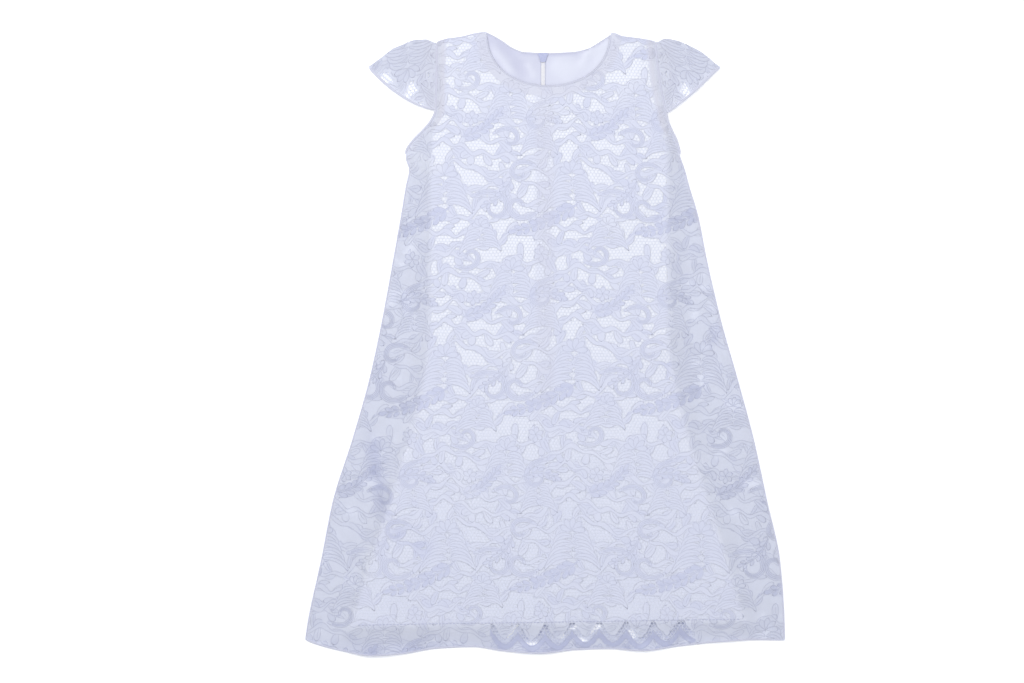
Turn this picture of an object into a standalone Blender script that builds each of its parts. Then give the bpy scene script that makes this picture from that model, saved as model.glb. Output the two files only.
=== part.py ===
"""A child's lace dress laid flat, front up: an A-line with cap sleeves and a zip down the centre back.

The scene is in metres. The sizes below are in millimetres, with x to the right, y from hem to neck and
z up from the surface that the dress lies on. Left and right are as seen from above.
"""

from collections import namedtuple
import math

import bmesh
import bpy
import numpy as np

OBJECT = "lace_dress"
MM = 0.001

# Thickness of one layer of cloth, and the space kept between two layers or at a seam
CLOTH = 1.0
SPACE = 0.3
SEAM = 0.5
LAYER = CLOTH + SPACE

# Underside of each layer in the flat stack, from the surface up
BACK_LACE_Z = 0.0
TAPE_Z = LAYER
BACK_LINING_Z = 2 * LAYER
FRONT_LINING_Z = 3 * LAYER
FRONT_LACE_Z = 4 * LAYER

# Where the front lace lies on the back lace, past the lining
LACE_ON_LACE_Z = LAYER
DROP_LENGTH = 22.0
HEM_DROP_LENGTH = 20.0
SHOULDER_DROP_SHARE = 0.15
DROP_FULL_Y = 184.0
DROP_LEAST_Y = 230.0

Edge = namedtuple("Edge", "y left right")
LACE_EDGES = [
    Edge(*row)
    for row in (
        (302, -108.0, 110.0),
        (268, -108.3, 113.5),
        (234, -109.0, 120.0),
        (224, -113.0, 122.0),
        (214, -121.0, 126.0),
        (204, -131.0, 131.0),
        (194, -138.0, 134.0),
        (187, -139.5, 135.5),
        (174, -136.0, 140.0),
        (159, -139.0, 144.0),
        (129, -144.0, 153.0),
        (84, -152.0, 162.0),
        (24, -163.0, 176.0),
        (-36, -176.0, 193.0),
        (-96, -193.0, 209.0),
        (-156, -212.0, 222.0),
        (-216, -224.0, 235.0),
        (-276, -237.0, 239.5),
        (-296, -240.0, 240.0),
    )
]
LINING_EDGES = [
    Edge(*row)
    for row in (
        (302, -104.0, 106.0),
        (268, -104.3, 109.5),
        (234, -105.5, 115.5),
        (214, -111.5, 120.5),
        (184, -115.0, 122.5),
        (99, -115.0, 123.0),
        (14, -116.0, 123.5),
        (-46, -124.0, 132.0),
        (-126, -146.0, 154.0),
        (-206, -171.0, 179.0),
        (-282, -195.0, 201.0),
    )
]

Point = namedtuple("Point", "x y")
LEFT_SHOULDER = [Point(*row) for row in ((-108, 302), (-98, 305), (-84, 307), (-72, 310), (-60, 312))]
RIGHT_SHOULDER = [Point(*row) for row in ((69, 311), (78, 307.5), (90, 306), (100, 304.5), (110, 302.5))]
BACK_NECK = [
    Point(*row)
    for row in (
        (-60, 312),
        (-45, 304),
        (-33, 296),
        (-21, 291.5),
        (3, 290.5),
        (27, 291.5),
        (42, 294.5),
        (57, 303),
        (69, 311),
    )
]
LACE_HEM = [
    Point(*row)
    for row in (
        (-240, -296),
        (-227, -301),
        (-203, -307),
        (-173, -312),
        (-143, -310),
        (-107, -304.5),
        (-72, -303),
        (-42, -307),
        (-5, -309.5),
        (31, -306),
        (66, -305),
        (97, -307),
        (133, -302.5),
        (175, -298),
        (210, -296),
        (240, -296.5),
    )
]
LINING_HEM = [Point(-195, -282), Point(201, -276)]

# The front neckline is half of a superellipse
NECK_MIDDLE_X = 3.5
NECK_HALF_WIDTH = 62.0
NECK_TOP_Y = 310.0
NECK_DEPTH = 52.6
NECK_POWER = 2.15

# How finely the front is divided
SHOULDER_COLUMNS = 4
NECK_COLUMNS = 17
MARGIN_COLUMNS = 4
UNDERARM_Y = 174.0
YOKE_ROWS = 9
SKIRT_ROWS = 21
HEM_ROWS = 3
EVEN_FROM_ROW = 14
OUTLINE_STEP = 12.0

# Soft folds that grow towards the hem, then folds that fade out at both ends
Fold = namedtuple("Fold", "head_x head_y foot_x foot_y half_width rise")
HEM_FOLDS = [
    Fold(*row)
    for row in (
        (-146, -110, -168, -312, 27, 3.3),
        (-2, -150, -12, -310, 32, 2.6),
        (82, -190, 98, -307, 24, 2.1),
        (160, -120, 186, -298, 22, 1.8),
    )
]
LYING_FOLDS = [
    Fold(*row)
    for row in (
        (-180, -60, -128, -228, 17, 2.6),
        (150, 44, 92, -40, 20, 1.6),
        (-96, 120, -40, 60, 24, 1.2),
        (118, 150, 44, 118, 16, 1.3),
    )
]
MOST_RISE = 3.5
EDGE_FADE = 28.0

# Sleeves, with the fold along the top and the free hem below. The columns are the distance out from
# the armhole seam as a share of the length, the height of the fold, the height of the hem, and the
# thickness of the sleeve at its middle.
SleeveSection = namedtuple("SleeveSection", "out fold_y hem_y thick")
LEFT_SLEEVE = [
    SleeveSection(*row)
    for row in (
        (0.00, 302.0, 233.5, 5.6),
        (0.03, 302.2, 233.7, 5.6),
        (0.14, 305.0, 235.2, 5.7),
        (0.30, 304.8, 239.0, 5.8),
        (0.48, 300.5, 245.5, 5.7),
        (0.64, 296.0, 253.0, 5.3),
        (0.80, 288.0, 262.0, 4.6),
        (0.92, 282.0, 270.0, 3.8),
        (1.00, 278.5, 275.5, 3.2),
    )
]
RIGHT_SLEEVE = [
    SleeveSection(*row)
    for row in (
        (0.00, 302.5, 230.5, 5.6),
        (0.03, 302.7, 231.0, 5.6),
        (0.14, 306.0, 234.5, 5.7),
        (0.30, 304.5, 240.5, 5.8),
        (0.48, 300.0, 248.0, 5.7),
        (0.64, 295.0, 256.0, 5.3),
        (0.80, 288.0, 265.0, 4.6),
        (0.92, 281.5, 272.0, 3.8),
        (1.00, 278.0, 275.5, 3.2),
    )
]
LEFT_TIP_X = -176.0
RIGHT_TIP_X = 175.0
SLEEVE_SECTIONS = 12
SLEEVE_CROWDING = 1.4
SLEEVE_UNDER_STEPS = 5
SLEEVE_FOLD_STEPS = 5
SLEEVE_OVER_STEPS = 13
GATHERS = 5
GATHER_RISE = 0.5
GATHER_REACH = 0.35

# Zip down the centre back
ZIP_X = -2.0
ZIP_FOOT_Y = -56.0
TAPE_WIDTH = 12.0
CHAIN_HALF_WIDTH = 1.55
LINING_PARTING = 1.9
SLIDER_FOOT_Y = 281.6
CHAIN_TOP_Y = 282.4
POCKET_FOOT_Y = 264.0
POCKET_HALF_WIDTH = 3.9

# Slider: a plate inside the dress, a stem through the opening and a loop outside that holds the pull
ShieldSection = namedtuple("ShieldSection", "up half_width")
SHIELD = [
    ShieldSection(*row)
    for row in ((0, 1.9), (1.0, 2.7), (4.4, 3.7), (7.2, 4.9), (8.4, 4.7), (9.2, 3.6))
]
PLATE_Z = BACK_LINING_Z + LAYER
PLATE_THICK = 1.2
STEM_WIDTH = 2.8
STEM_Z = 2.3
LOOP_WIDTH = 1.4
LOOP_REACH = 2.9
LOOP_WALL = 0.8
LOOP_LIMB_LOW = 0.05
LOOP_LIMB_HIGH = 0.5
SUNK = 0.2

# Pull: a flat drop-shaped tab that hangs on the loop and swings about the line through its end bar
PIVOT_Y = 286.2
PIVOT_Z = 1.35
PULL_THICK = 0.8
PULL_BAR = 0.8
PULL_EYE_LENGTH = 3.4
PULL_EYE_WIDTH = 2.6
PullSection = namedtuple("PullSection", "down half_width")
PULL = [
    PullSection(*row)
    for row in ((-0.4, 2.2), (3.6, 2.2), (6.0, 1.7), (11.0, 2.6), (14.0, 2.9), (16.0, 2.2), (17.0, 0.9))
]

LACE_COLOUR = (0.86, 0.86, 0.90)
LINING_COLOUR = (0.93, 0.93, 0.96)
TAPE_COLOUR = (0.90, 0.90, 0.93)
COIL_COLOUR = (0.88, 0.87, 0.90)
METAL_COLOUR = (0.69, 0.70, 0.80)


def smooth_step(value):
    """From 0 to 1 with level ends."""
    value = np.clip(value, 0.0, 1.0)
    return value * value * (3.0 - 2.0 * value)


def through(rows, key, column, at):
    """A smooth curve through one column of a table, read at a value of its key column.

    Its slope at each row is the harmonic mean of those on both sides, so it never swings past a row.
    """
    rows = sorted(rows, key=lambda row: getattr(row, key))
    knots = np.array([getattr(row, key) for row in rows], float)
    values = np.array([getattr(row, column) for row in rows], float)
    rates = np.diff(values) / np.diff(knots)
    before, after = rates[:-1], rates[1:]
    same_way = before * after > 0
    means = np.where(same_way, 2 * before * after / np.where(same_way, before + after, 1), 0.0)
    slopes = np.concatenate([rates[:1], means, rates[-1:]])
    at = np.clip(at, knots[0], knots[-1])
    i = np.clip(np.searchsorted(knots, at) - 1, 0, len(knots) - 2)
    span = knots[i + 1] - knots[i]
    t = (at - knots[i]) / span
    start = (1 + 2 * t) * (1 - t) ** 2 * values[i] + t * (1 - t) ** 2 * span * slopes[i]
    end = t * t * (3 - 2 * t) * values[i + 1] - t * t * (1 - t) * span * slopes[i + 1]
    return start + end


def lace_left(y):
    return through(LACE_EDGES, "y", "left", y)


def lace_right(y):
    return through(LACE_EDGES, "y", "right", y)


def lining_left(y):
    return through(LINING_EDGES, "y", "left", y)


def lining_right(y):
    return through(LINING_EDGES, "y", "right", y)


def lace_hem(x):
    return through(LACE_HEM, "x", "y", x)


def lining_hem(x):
    first, last = LINING_HEM
    return first.y + (last.y - first.y) * (x - first.x) / (last.x - first.x)


def front_neck(count):
    """Points along the front neckline, from left to right."""
    points = []
    for step in range(count + 1):
        angle = math.pi * (1 - step / count)
        across = math.copysign(abs(math.cos(angle)) ** (2 / NECK_POWER), math.cos(angle))
        down = abs(math.sin(angle)) ** (2 / NECK_POWER)
        points.append(Point(NECK_MIDDLE_X + NECK_HALF_WIDTH * across, NECK_TOP_Y - NECK_DEPTH * down))
    return points


def fold_part(fold, x, y):
    """How far along the fold a point lies, from 0 at its head to 1 at its foot, and its bell across."""
    along_x = fold.foot_x - fold.head_x
    along_y = fold.foot_y - fold.head_y
    length = math.hypot(along_x, along_y)
    along = ((x - fold.head_x) * along_x + (y - fold.head_y) * along_y) / length**2
    across = ((x - fold.head_x) * along_y - (y - fold.head_y) * along_x) / length
    return along, np.exp(-((across / fold.half_width) ** 2))


def fold_rise(x, y):
    """How far the folds lift the front off the flat stack. The side seams stay down."""
    rise = 0.0
    for fold in HEM_FOLDS:
        along, bell = fold_part(fold, x, y)
        rise = rise + fold.rise * bell * smooth_step(along)
    for fold in LYING_FOLDS:
        along, bell = fold_part(fold, x, y)
        rise = rise + fold.rise * bell * smooth_step(2.5 * along) * smooth_step(2.5 * (1 - along))
    from_edge = np.minimum(x - lace_left(y), lace_right(y) - x)
    return np.minimum(rise, MOST_RISE) * smooth_step(from_edge / EDGE_FADE)


def cover(x, y):
    """1 where the front lace lies on the lining, falling to 0 where it lies on the back lace."""
    share = 1 - smooth_step((y - DROP_FULL_Y) / (DROP_LEAST_Y - DROP_FULL_Y)) * (1 - SHOULDER_DROP_SHARE)
    left_width = np.minimum(lining_left(y) - lace_left(y), DROP_LENGTH)
    right_width = np.minimum(lace_right(y) - lining_right(y), DROP_LENGTH)
    past_side = np.maximum((lining_left(y) - x) / left_width, (x - lining_right(y)) / right_width)
    past_hem = (lining_hem(x) - y) / HEM_DROP_LENGTH
    return (1 - share * smooth_step(past_side)) * (1 - smooth_step(past_hem))


def front_lace_under(x, y):
    """Height of the underside of the front lace."""
    return LACE_ON_LACE_Z + (FRONT_LACE_Z - LACE_ON_LACE_Z) * cover(x, y) + fold_rise(x, y)


def front_lining_top(x, y):
    """Height of the upper side of the front lining."""
    return FRONT_LINING_Z + CLOTH + fold_rise(x, y)


def top_columns():
    """Where the columns of the front reach its top edge, over the lining's width."""
    left_x = np.linspace(LINING_EDGES[0].left, LEFT_SHOULDER[-1].x, SHOULDER_COLUMNS + 1)
    right_x = np.linspace(RIGHT_SHOULDER[0].x, LINING_EDGES[0].right, SHOULDER_COLUMNS + 1)
    left = [Point(x, float(through(LEFT_SHOULDER, "x", "y", x))) for x in left_x]
    right = [Point(x, float(through(RIGHT_SHOULDER, "x", "y", x))) for x in right_x]
    return left + front_neck(NECK_COLUMNS) + right


def front_plan():
    """Plan points of the front as rows of columns from neck to hem, and how many rows the lining has."""
    tops = top_columns()
    middle = len(tops) - 1
    columns = middle + 2 * MARGIN_COLUMNS
    rows = YOKE_ROWS + SKIRT_ROWS + HEM_ROWS
    plan = np.zeros((rows + 1, columns + 1, 2))
    top_width = tops[-1].x - tops[0].x
    for column in range(columns + 1):
        inner = min(max(column - MARGIN_COLUMNS, 0), middle)
        top_share = (tops[inner].x - tops[0].x) / top_width
        left_out = max(MARGIN_COLUMNS - column, 0) / MARGIN_COLUMNS
        right_out = max(column - MARGIN_COLUMNS - middle, 0) / MARGIN_COLUMNS

        def across(y, evenness):
            share = top_share + (inner / middle - top_share) * evenness
            x = lining_left(y) + (lining_right(y) - lining_left(y)) * share
            x += (lace_left(y) - lining_left(y)) * left_out
            return float(x + (lace_right(y) - lining_right(y)) * right_out)

        hem_x = across(LACE_EDGES[-1].y, 1.0)
        top_y = tops[inner].y
        if left_out:
            top_y = through(LEFT_SHOULDER, "x", "y", across(top_y, 0.0))
        if right_out:
            top_y = through(RIGHT_SHOULDER, "x", "y", across(top_y, 0.0))
        for row in range(rows + 1):
            if row <= YOKE_ROWS:
                y = top_y + (UNDERARM_Y - top_y) * row / YOKE_ROWS
            elif row <= YOKE_ROWS + SKIRT_ROWS:
                y = UNDERARM_Y + (lining_hem(hem_x) - UNDERARM_Y) * (row - YOKE_ROWS) / SKIRT_ROWS
            else:
                down = (row - YOKE_ROWS - SKIRT_ROWS) / HEM_ROWS
                y = lining_hem(hem_x) + (lace_hem(hem_x) - lining_hem(hem_x)) * down
            evenness = float(smooth_step(row / EVEN_FROM_ROW))
            plan[row, column] = across(y, evenness), y
    return plan


def scene_collection(name, hidden=False):
    collection = bpy.data.collections.new(name)
    bpy.context.scene.collection.children.link(collection)
    collection.hide_render = hidden
    return collection


def finish(name, colour, roughness, metallic=0.0):
    """A plain material for one sub-part."""
    material = bpy.data.materials.new(name)
    material.use_nodes = True
    shader = material.node_tree.nodes["Principled BSDF"]
    shader.inputs["Base Color"].default_value = (*colour, 1.0)
    shader.inputs["Roughness"].default_value = roughness
    shader.inputs["Metallic"].default_value = metallic
    return material


def sheet(name, points, upwards, parts, material):
    """A cloth wall on one side of a grid of points, given as rows of columns of x, y and z."""
    rows, columns = points.shape[0] - 1, points.shape[1] - 1
    shape = bmesh.new()
    bmesh.ops.create_grid(shape, x_segments=columns, y_segments=rows, size=1)
    shape.verts.ensure_lookup_table()
    for vertex in shape.verts:
        row, column = divmod(vertex.index, columns + 1)
        vertex.co = points[rows - row, column] * MM
    mesh = bpy.data.meshes.new(name)
    shape.to_mesh(mesh)
    shape.free()
    mesh.materials.append(material)
    mesh.shade_smooth()
    panel = bpy.data.objects.new(name, mesh)
    parts.objects.link(panel)
    wall = panel.modifiers.new("Cloth", "SOLIDIFY")
    wall.thickness = CLOTH * MM
    wall.offset = 1.0 if upwards else -1.0
    return panel


def outline_curve(name, outlines, low, high):
    """A flat outline, with any holes after it, made as thick as the space from low to high."""
    curve = bpy.data.curves.new(name, "CURVE")
    curve.dimensions = "2D"
    curve.fill_mode = "BOTH"
    curve.extrude = (high - low) / 2 * MM
    for outline in outlines:
        spline = curve.splines.new("POLY")
        spline.points.add(len(outline) - 1)
        for target, (x, y) in zip(spline.points, outline):
            target.co = (x * MM, y * MM, 0.0, 1.0)
        spline.use_cyclic_u = True
    solid = bpy.data.objects.new(name, curve)
    solid.location.z = (low + high) / 2 * MM
    return solid


def flat_piece(name, outlines, low, high, parts, material):
    piece = outline_curve(name, outlines, low, high)
    piece.data.materials.append(material)
    parts.objects.link(piece)
    return piece


def steps_between(start, end, step=OUTLINE_STEP):
    count = max(1, round(abs(end - start) / step))
    return np.linspace(start, end, count + 1)


def back_outline(side, edge, hem, centre):
    """The outline of one back half. The centre is a list of x and y from the hem up to the neck."""
    left = side == "left"
    shoulder = LEFT_SHOULDER if left else RIGHT_SHOULDER
    inner_shoulder = BACK_NECK[0] if left else BACK_NECK[-1]
    rough_foot_x = edge(LACE_EDGES[-1].y)
    foot_y = hem(rough_foot_x)
    neck_x = steps_between(centre[-1][0], inner_shoulder.x)[1:]
    shoulder_x = steps_between(inner_shoulder.x, edge(LACE_EDGES[0].y))[1:]
    side_y = steps_between(LACE_EDGES[0].y, foot_y)[1:]
    hem_x = steps_between(edge(foot_y), centre[0][0])[1:-1]
    outline = list(centre)
    outline += [(x, through(BACK_NECK, "x", "y", x)) for x in neck_x]
    outline += [(x, through(shoulder, "x", "y", x)) for x in shoulder_x]
    outline += [(edge(y), y) for y in side_y]
    outline += [(x, hem(x)) for x in hem_x]
    return outline


def back_lace(side, parts, material):
    sign = -1 if side == "left" else 1
    edge = lace_left if side == "left" else lace_right
    seam_x = ZIP_X + sign * SPACE / 2
    pocket_x = ZIP_X + sign * POCKET_HALF_WIDTH
    centre = [
        (seam_x, float(lace_hem(seam_x))),
        (seam_x, POCKET_FOOT_Y),
        (pocket_x, POCKET_FOOT_Y + POCKET_HALF_WIDTH),
        (pocket_x, float(through(BACK_NECK, "x", "y", pocket_x))),
    ]
    outline = back_outline(side, edge, lace_hem, centre)
    return flat_piece(f"back_lace_{side}", [outline], BACK_LACE_Z, BACK_LACE_Z + CLOTH, parts, material)


def back_lining(side, parts, material):
    sign = -1 if side == "left" else 1
    edge = lining_left if side == "left" else lining_right
    seam_x = ZIP_X + sign * SPACE / 2
    parted_x = ZIP_X + sign * LINING_PARTING
    centre = [
        (seam_x, float(lining_hem(seam_x))),
        (seam_x, ZIP_FOOT_Y - 2 * LINING_PARTING),
        (parted_x, ZIP_FOOT_Y - SPACE),
        (parted_x, float(through(BACK_NECK, "x", "y", parted_x))),
    ]
    outline = back_outline(side, edge, lining_hem, centre)
    low = BACK_LINING_Z
    return flat_piece(f"back_lining_{side}", [outline], low, low + CLOTH, parts, material)


def sleeve(side, parts, material):
    """A cap sleeve: one wall folded along its top edge, open along its hem and at the armhole."""
    table = LEFT_SLEEVE if side == "left" else RIGHT_SLEEVE
    tip_x = LEFT_TIP_X if side == "left" else RIGHT_TIP_X
    edge = lace_left if side == "left" else lace_right
    sign = -1 if side == "left" else 1
    around = SLEEVE_UNDER_STEPS + SLEEVE_FOLD_STEPS + SLEEVE_OVER_STEPS
    points = np.zeros((SLEEVE_SECTIONS + 1, around + 1, 3))
    for section in range(SLEEVE_SECTIONS + 1):
        out = (section / SLEEVE_SECTIONS) ** SLEEVE_CROWDING
        fold_y = float(through(table, "out", "fold_y", out))
        hem_y = float(through(table, "out", "hem_y", out))
        thick = float(through(table, "out", "thick", out))
        radius = thick / 2
        for step in range(around + 1):
            y, z = sleeve_section(step, fold_y, hem_y, radius)
            over = step - SLEEVE_UNDER_STEPS - SLEEVE_FOLD_STEPS
            if over > 0:
                gather = math.sin(math.pi * GATHERS * over / SLEEVE_OVER_STEPS) ** 2
                near_seam = float(smooth_step(1 - out / GATHER_REACH)) * float(smooth_step(out / 0.08))
                z += GATHER_RISE * gather * near_seam
            seam_x = float(edge(y)) + sign * SEAM
            points[section, step] = seam_x + (tip_x - seam_x) * out, y, z
    if side == "right":
        points = points[:, ::-1]
    return sheet(f"sleeve_{side}", points, False, parts, material)


def sleeve_section(step, fold_y, hem_y, radius):
    """One point of a section: along the under layer, round the fold and back along the upper layer."""
    bend_y = fold_y - radius
    if step <= SLEEVE_UNDER_STEPS:
        return hem_y + (bend_y - hem_y) * step / SLEEVE_UNDER_STEPS, 0.0
    if step <= SLEEVE_UNDER_STEPS + SLEEVE_FOLD_STEPS:
        angle = math.pi * (step - SLEEVE_UNDER_STEPS) / SLEEVE_FOLD_STEPS
        return bend_y + radius * math.sin(angle), radius * (1 - math.cos(angle))
    share = (step - SLEEVE_UNDER_STEPS - SLEEVE_FOLD_STEPS) / SLEEVE_OVER_STEPS
    return bend_y + (hem_y - bend_y) * share, 2 * radius


def zip_tape(side, parts, material):
    """One half of the zip's tape. It parts round the slider's loop and the pull."""
    sign = -1 if side == "left" else 1
    seam_x = ZIP_X + sign * SPACE / 2
    pocket_x = ZIP_X + sign * POCKET_HALF_WIDTH
    outer_x = ZIP_X + sign * TAPE_WIDTH
    top_y = float(through(BACK_NECK, "x", "y", ZIP_X)) - 1
    outline = [
        (seam_x, ZIP_FOOT_Y),
        (outer_x, ZIP_FOOT_Y),
        (outer_x, top_y),
        (pocket_x, top_y),
        (pocket_x, POCKET_FOOT_Y + POCKET_HALF_WIDTH),
        (seam_x, POCKET_FOOT_Y),
    ]
    return flat_piece(f"zip_tape_{side}", [outline], TAPE_Z, TAPE_Z + CLOTH, parts, material)


def rectangle(middle_x, half_width, low_y, high_y):
    left, right = middle_x - half_width, middle_x + half_width
    return [(left, low_y), (right, low_y), (right, high_y), (left, high_y)]


def zip_chain(parts, material):
    """The closed coil, level with the lining on both sides of it."""
    outline = rectangle(ZIP_X, CHAIN_HALF_WIDTH, ZIP_FOOT_Y, CHAIN_TOP_Y)
    return flat_piece("zip_chain", [outline], BACK_LINING_Z, BACK_LINING_Z + CLOTH, parts, material)


def as_mesh(solid, parts):
    """The same shape as a closed mesh, so that other shapes can be joined to it."""
    bpy.context.scene.collection.objects.link(solid)
    bpy.context.view_layer.update()
    graph = bpy.context.evaluated_depsgraph_get()
    mesh = bpy.data.meshes.new_from_object(solid.evaluated_get(graph))
    shape = bmesh.new()
    shape.from_mesh(mesh)
    bmesh.ops.remove_doubles(shape, verts=shape.verts, dist=1e-6)
    bmesh.ops.recalc_face_normals(shape, faces=shape.faces)
    shape.to_mesh(mesh)
    shape.free()
    name = solid.name
    placed = solid.matrix_world.copy()
    bpy.data.objects.remove(solid)
    closed = bpy.data.objects.new(name, mesh)
    closed.matrix_world = placed
    parts.objects.link(closed)
    return closed


def box(name, low, high, helpers):
    """A block between two corners, kept among the helpers."""
    shape = bmesh.new()
    bmesh.ops.create_cube(shape, size=1)
    size = [(b - a) * MM for a, b in zip(low, high)]
    bmesh.ops.scale(shape, vec=size, verts=shape.verts)
    mesh = bpy.data.meshes.new(name)
    shape.to_mesh(mesh)
    shape.free()
    block = bpy.data.objects.new(name, mesh)
    block.location = [(a + b) / 2 * MM for a, b in zip(low, high)]
    block.display_type = "WIRE"
    block.hide_render = True
    helpers.objects.link(block)
    return block


def zip_slider(parts, helpers, material):
    """The shield-shaped plate, with its stem and the loop for the pull joined on."""
    right = [(ZIP_X + row.half_width, SLIDER_FOOT_Y + row.up) for row in SHIELD]
    left = [(ZIP_X - row.half_width, SLIDER_FOOT_Y + row.up) for row in reversed(SHIELD)]
    plate = outline_curve("zip_slider", [right + left], PLATE_Z, PLATE_Z + PLATE_THICK)
    slider = as_mesh(plate, parts)
    slider.data.materials.append(material)
    half_stem, half_loop = STEM_WIDTH / 2, LOOP_WIDTH / 2
    near, far = PIVOT_Y - LOOP_REACH, PIVOT_Y + LOOP_REACH
    blocks = {
        "slider_stem": ((ZIP_X - half_stem, near, STEM_Z), (ZIP_X + half_stem, far, PLATE_Z + SUNK)),
        "slider_loop_near": (
            (ZIP_X - half_loop, near, LOOP_LIMB_LOW),
            (ZIP_X + half_loop, near + LOOP_WALL, STEM_Z + SUNK),
        ),
        "slider_loop_far": (
            (ZIP_X - half_loop, far - LOOP_WALL, LOOP_LIMB_LOW),
            (ZIP_X + half_loop, far, STEM_Z + SUNK),
        ),
        "slider_loop_limb": (
            (ZIP_X - half_loop, near + LOOP_WALL / 2, LOOP_LIMB_LOW),
            (ZIP_X + half_loop, far - LOOP_WALL / 2, LOOP_LIMB_HIGH),
        ),
    }
    for name, (low, high) in blocks.items():
        union = slider.modifiers.new(name, "BOOLEAN")
        union.operation = "UNION"
        union.solver = "EXACT"
        union.object = box(name, low, high, helpers)
    return slider


def zip_pull(parts, material):
    """The tab, with its origin on the line that it swings about."""
    right = [(row.half_width, -row.down) for row in PULL]
    left = [(-row.half_width, -row.down) for row in reversed(PULL)]
    eye_top = -PULL_BAR / 2
    eye = rectangle(0.0, PULL_EYE_WIDTH / 2, eye_top - PULL_EYE_LENGTH, eye_top)
    outlines = [right + left, eye]
    pull = flat_piece("zip_pull", outlines, -PULL_THICK / 2, PULL_THICK / 2, parts, material)
    pull.location = (ZIP_X * MM, PIVOT_Y * MM, PIVOT_Z * MM)
    return pull


def heights(plan, height):
    """Plan points with a height added to each."""
    return np.dstack([plan, height(plan[..., 0], plan[..., 1])])


def main():
    for old in list(bpy.data.objects):
        bpy.data.objects.remove(old)
    parts = scene_collection(OBJECT)
    helpers = scene_collection("helpers", hidden=True)
    lace = finish("lace", LACE_COLOUR, 0.85)
    lining = finish("satin_lining", LINING_COLOUR, 0.4)
    tape = finish("zip_tape", TAPE_COLOUR, 0.8)
    coil = finish("zip_coil", COIL_COLOUR, 0.5)
    metal = finish("zip_metal", METAL_COLOUR, 0.35, metallic=0.6)

    plan = front_plan()
    lining_plan = plan[: YOKE_ROWS + SKIRT_ROWS + 1, MARGIN_COLUMNS:-MARGIN_COLUMNS]
    sheet("front_lace", heights(plan, front_lace_under), True, parts, lace)
    sheet("front_lining", heights(lining_plan, front_lining_top), False, parts, lining)
    for side in ("left", "right"):
        back_lace(side, parts, lace)
        back_lining(side, parts, lining)
        sleeve(side, parts, lace)
        zip_tape(side, parts, tape)
    zip_chain(parts, coil)
    zip_slider(parts, helpers, metal)
    zip_pull(parts, metal)


main()
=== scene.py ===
from collections import namedtuple
import math

import bpy
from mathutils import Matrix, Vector
import numpy as np


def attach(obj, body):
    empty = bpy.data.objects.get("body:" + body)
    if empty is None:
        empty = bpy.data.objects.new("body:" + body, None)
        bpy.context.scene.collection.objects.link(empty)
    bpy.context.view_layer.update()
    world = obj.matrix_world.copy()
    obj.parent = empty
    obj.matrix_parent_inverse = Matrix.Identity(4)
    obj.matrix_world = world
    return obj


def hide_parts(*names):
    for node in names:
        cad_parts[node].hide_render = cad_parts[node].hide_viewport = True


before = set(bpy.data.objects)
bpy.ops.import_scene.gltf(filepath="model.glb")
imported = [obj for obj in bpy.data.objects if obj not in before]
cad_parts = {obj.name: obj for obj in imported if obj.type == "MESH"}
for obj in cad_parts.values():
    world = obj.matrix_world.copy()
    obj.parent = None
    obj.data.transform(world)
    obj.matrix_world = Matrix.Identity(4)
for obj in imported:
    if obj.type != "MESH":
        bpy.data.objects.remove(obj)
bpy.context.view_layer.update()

# A child's lace dress laid flat, front up. Lace panels lie over a satin lining, with cap sleeves of the
# same lace and a zip down the centre back. The tables are in millimetres: x to the right, y from hem to
# neck and z up from the surface. Points turn to metres when a piece is made.

bl_info = {
    "name": "Lace dress, laid flat",
    "version": (1, 0, 0),
    "blender": (4, 5, 0),
    "location": "View3D > Sidebar > Dress",
    "description": "Makes a child's lace dress laid flat: lace, lining, sleeves, seams and zip",
    "category": "Add Mesh",
}

MM = 0.001

# Thickness of one layer of cloth, and the space kept between two layers or at a seam
CLOTH = 1.0
SPACE = 0.3
SEAM = 0.5
LAYER = CLOTH + SPACE

# Underside of each layer in the flat stack. Past the lining the front lace lies on the back lace.
BACK_LACE_Z = 0.0
LACE_ON_LACE_Z = LAYER
BACK_LINING_Z = 2 * LAYER
FRONT_LINING_Z = 3 * LAYER
FRONT_LACE_Z = 4 * LAYER

# How the front lace drops off the lining: fully up to one height, and least above another
DROP_LENGTH = 22.0
HEM_DROP_LENGTH = 20.0
SHOULDER_DROP_SHARE = 0.15
DROP_FULL_Y = 184.0
DROP_LEAST_Y = 230.0


def table(kind, *rows):
    """Rows of numbers with a name for each column."""
    return [kind(*row) for row in rows]


Edge = namedtuple("Edge", "y left right")
LACE_EDGES = table(
    Edge,
    (302, -108.0, 110.0), (268, -108.3, 113.5), (234, -109.0, 120.0), (224, -113.0, 122.0),
    (214, -121.0, 126.0), (204, -131.0, 131.0), (194, -138.0, 134.0), (187, -139.5, 135.5),
    (174, -136.0, 140.0), (159, -139.0, 144.0), (129, -144.0, 153.0), (84, -152.0, 162.0),
    (24, -163.0, 176.0), (-36, -176.0, 193.0), (-96, -193.0, 209.0), (-156, -212.0, 222.0),
    (-216, -224.0, 235.0), (-276, -237.0, 239.5), (-296, -240.0, 240.0),
)
LINING_EDGES = table(
    Edge,
    (302, -104.0, 106.0), (268, -104.3, 109.5), (234, -105.5, 115.5), (214, -111.5, 120.5),
    (184, -115.0, 122.5), (99, -115.0, 123.0), (14, -116.0, 123.5), (-46, -124.0, 132.0),
    (-126, -146.0, 154.0), (-206, -171.0, 179.0), (-282, -195.0, 201.0),
)

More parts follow.
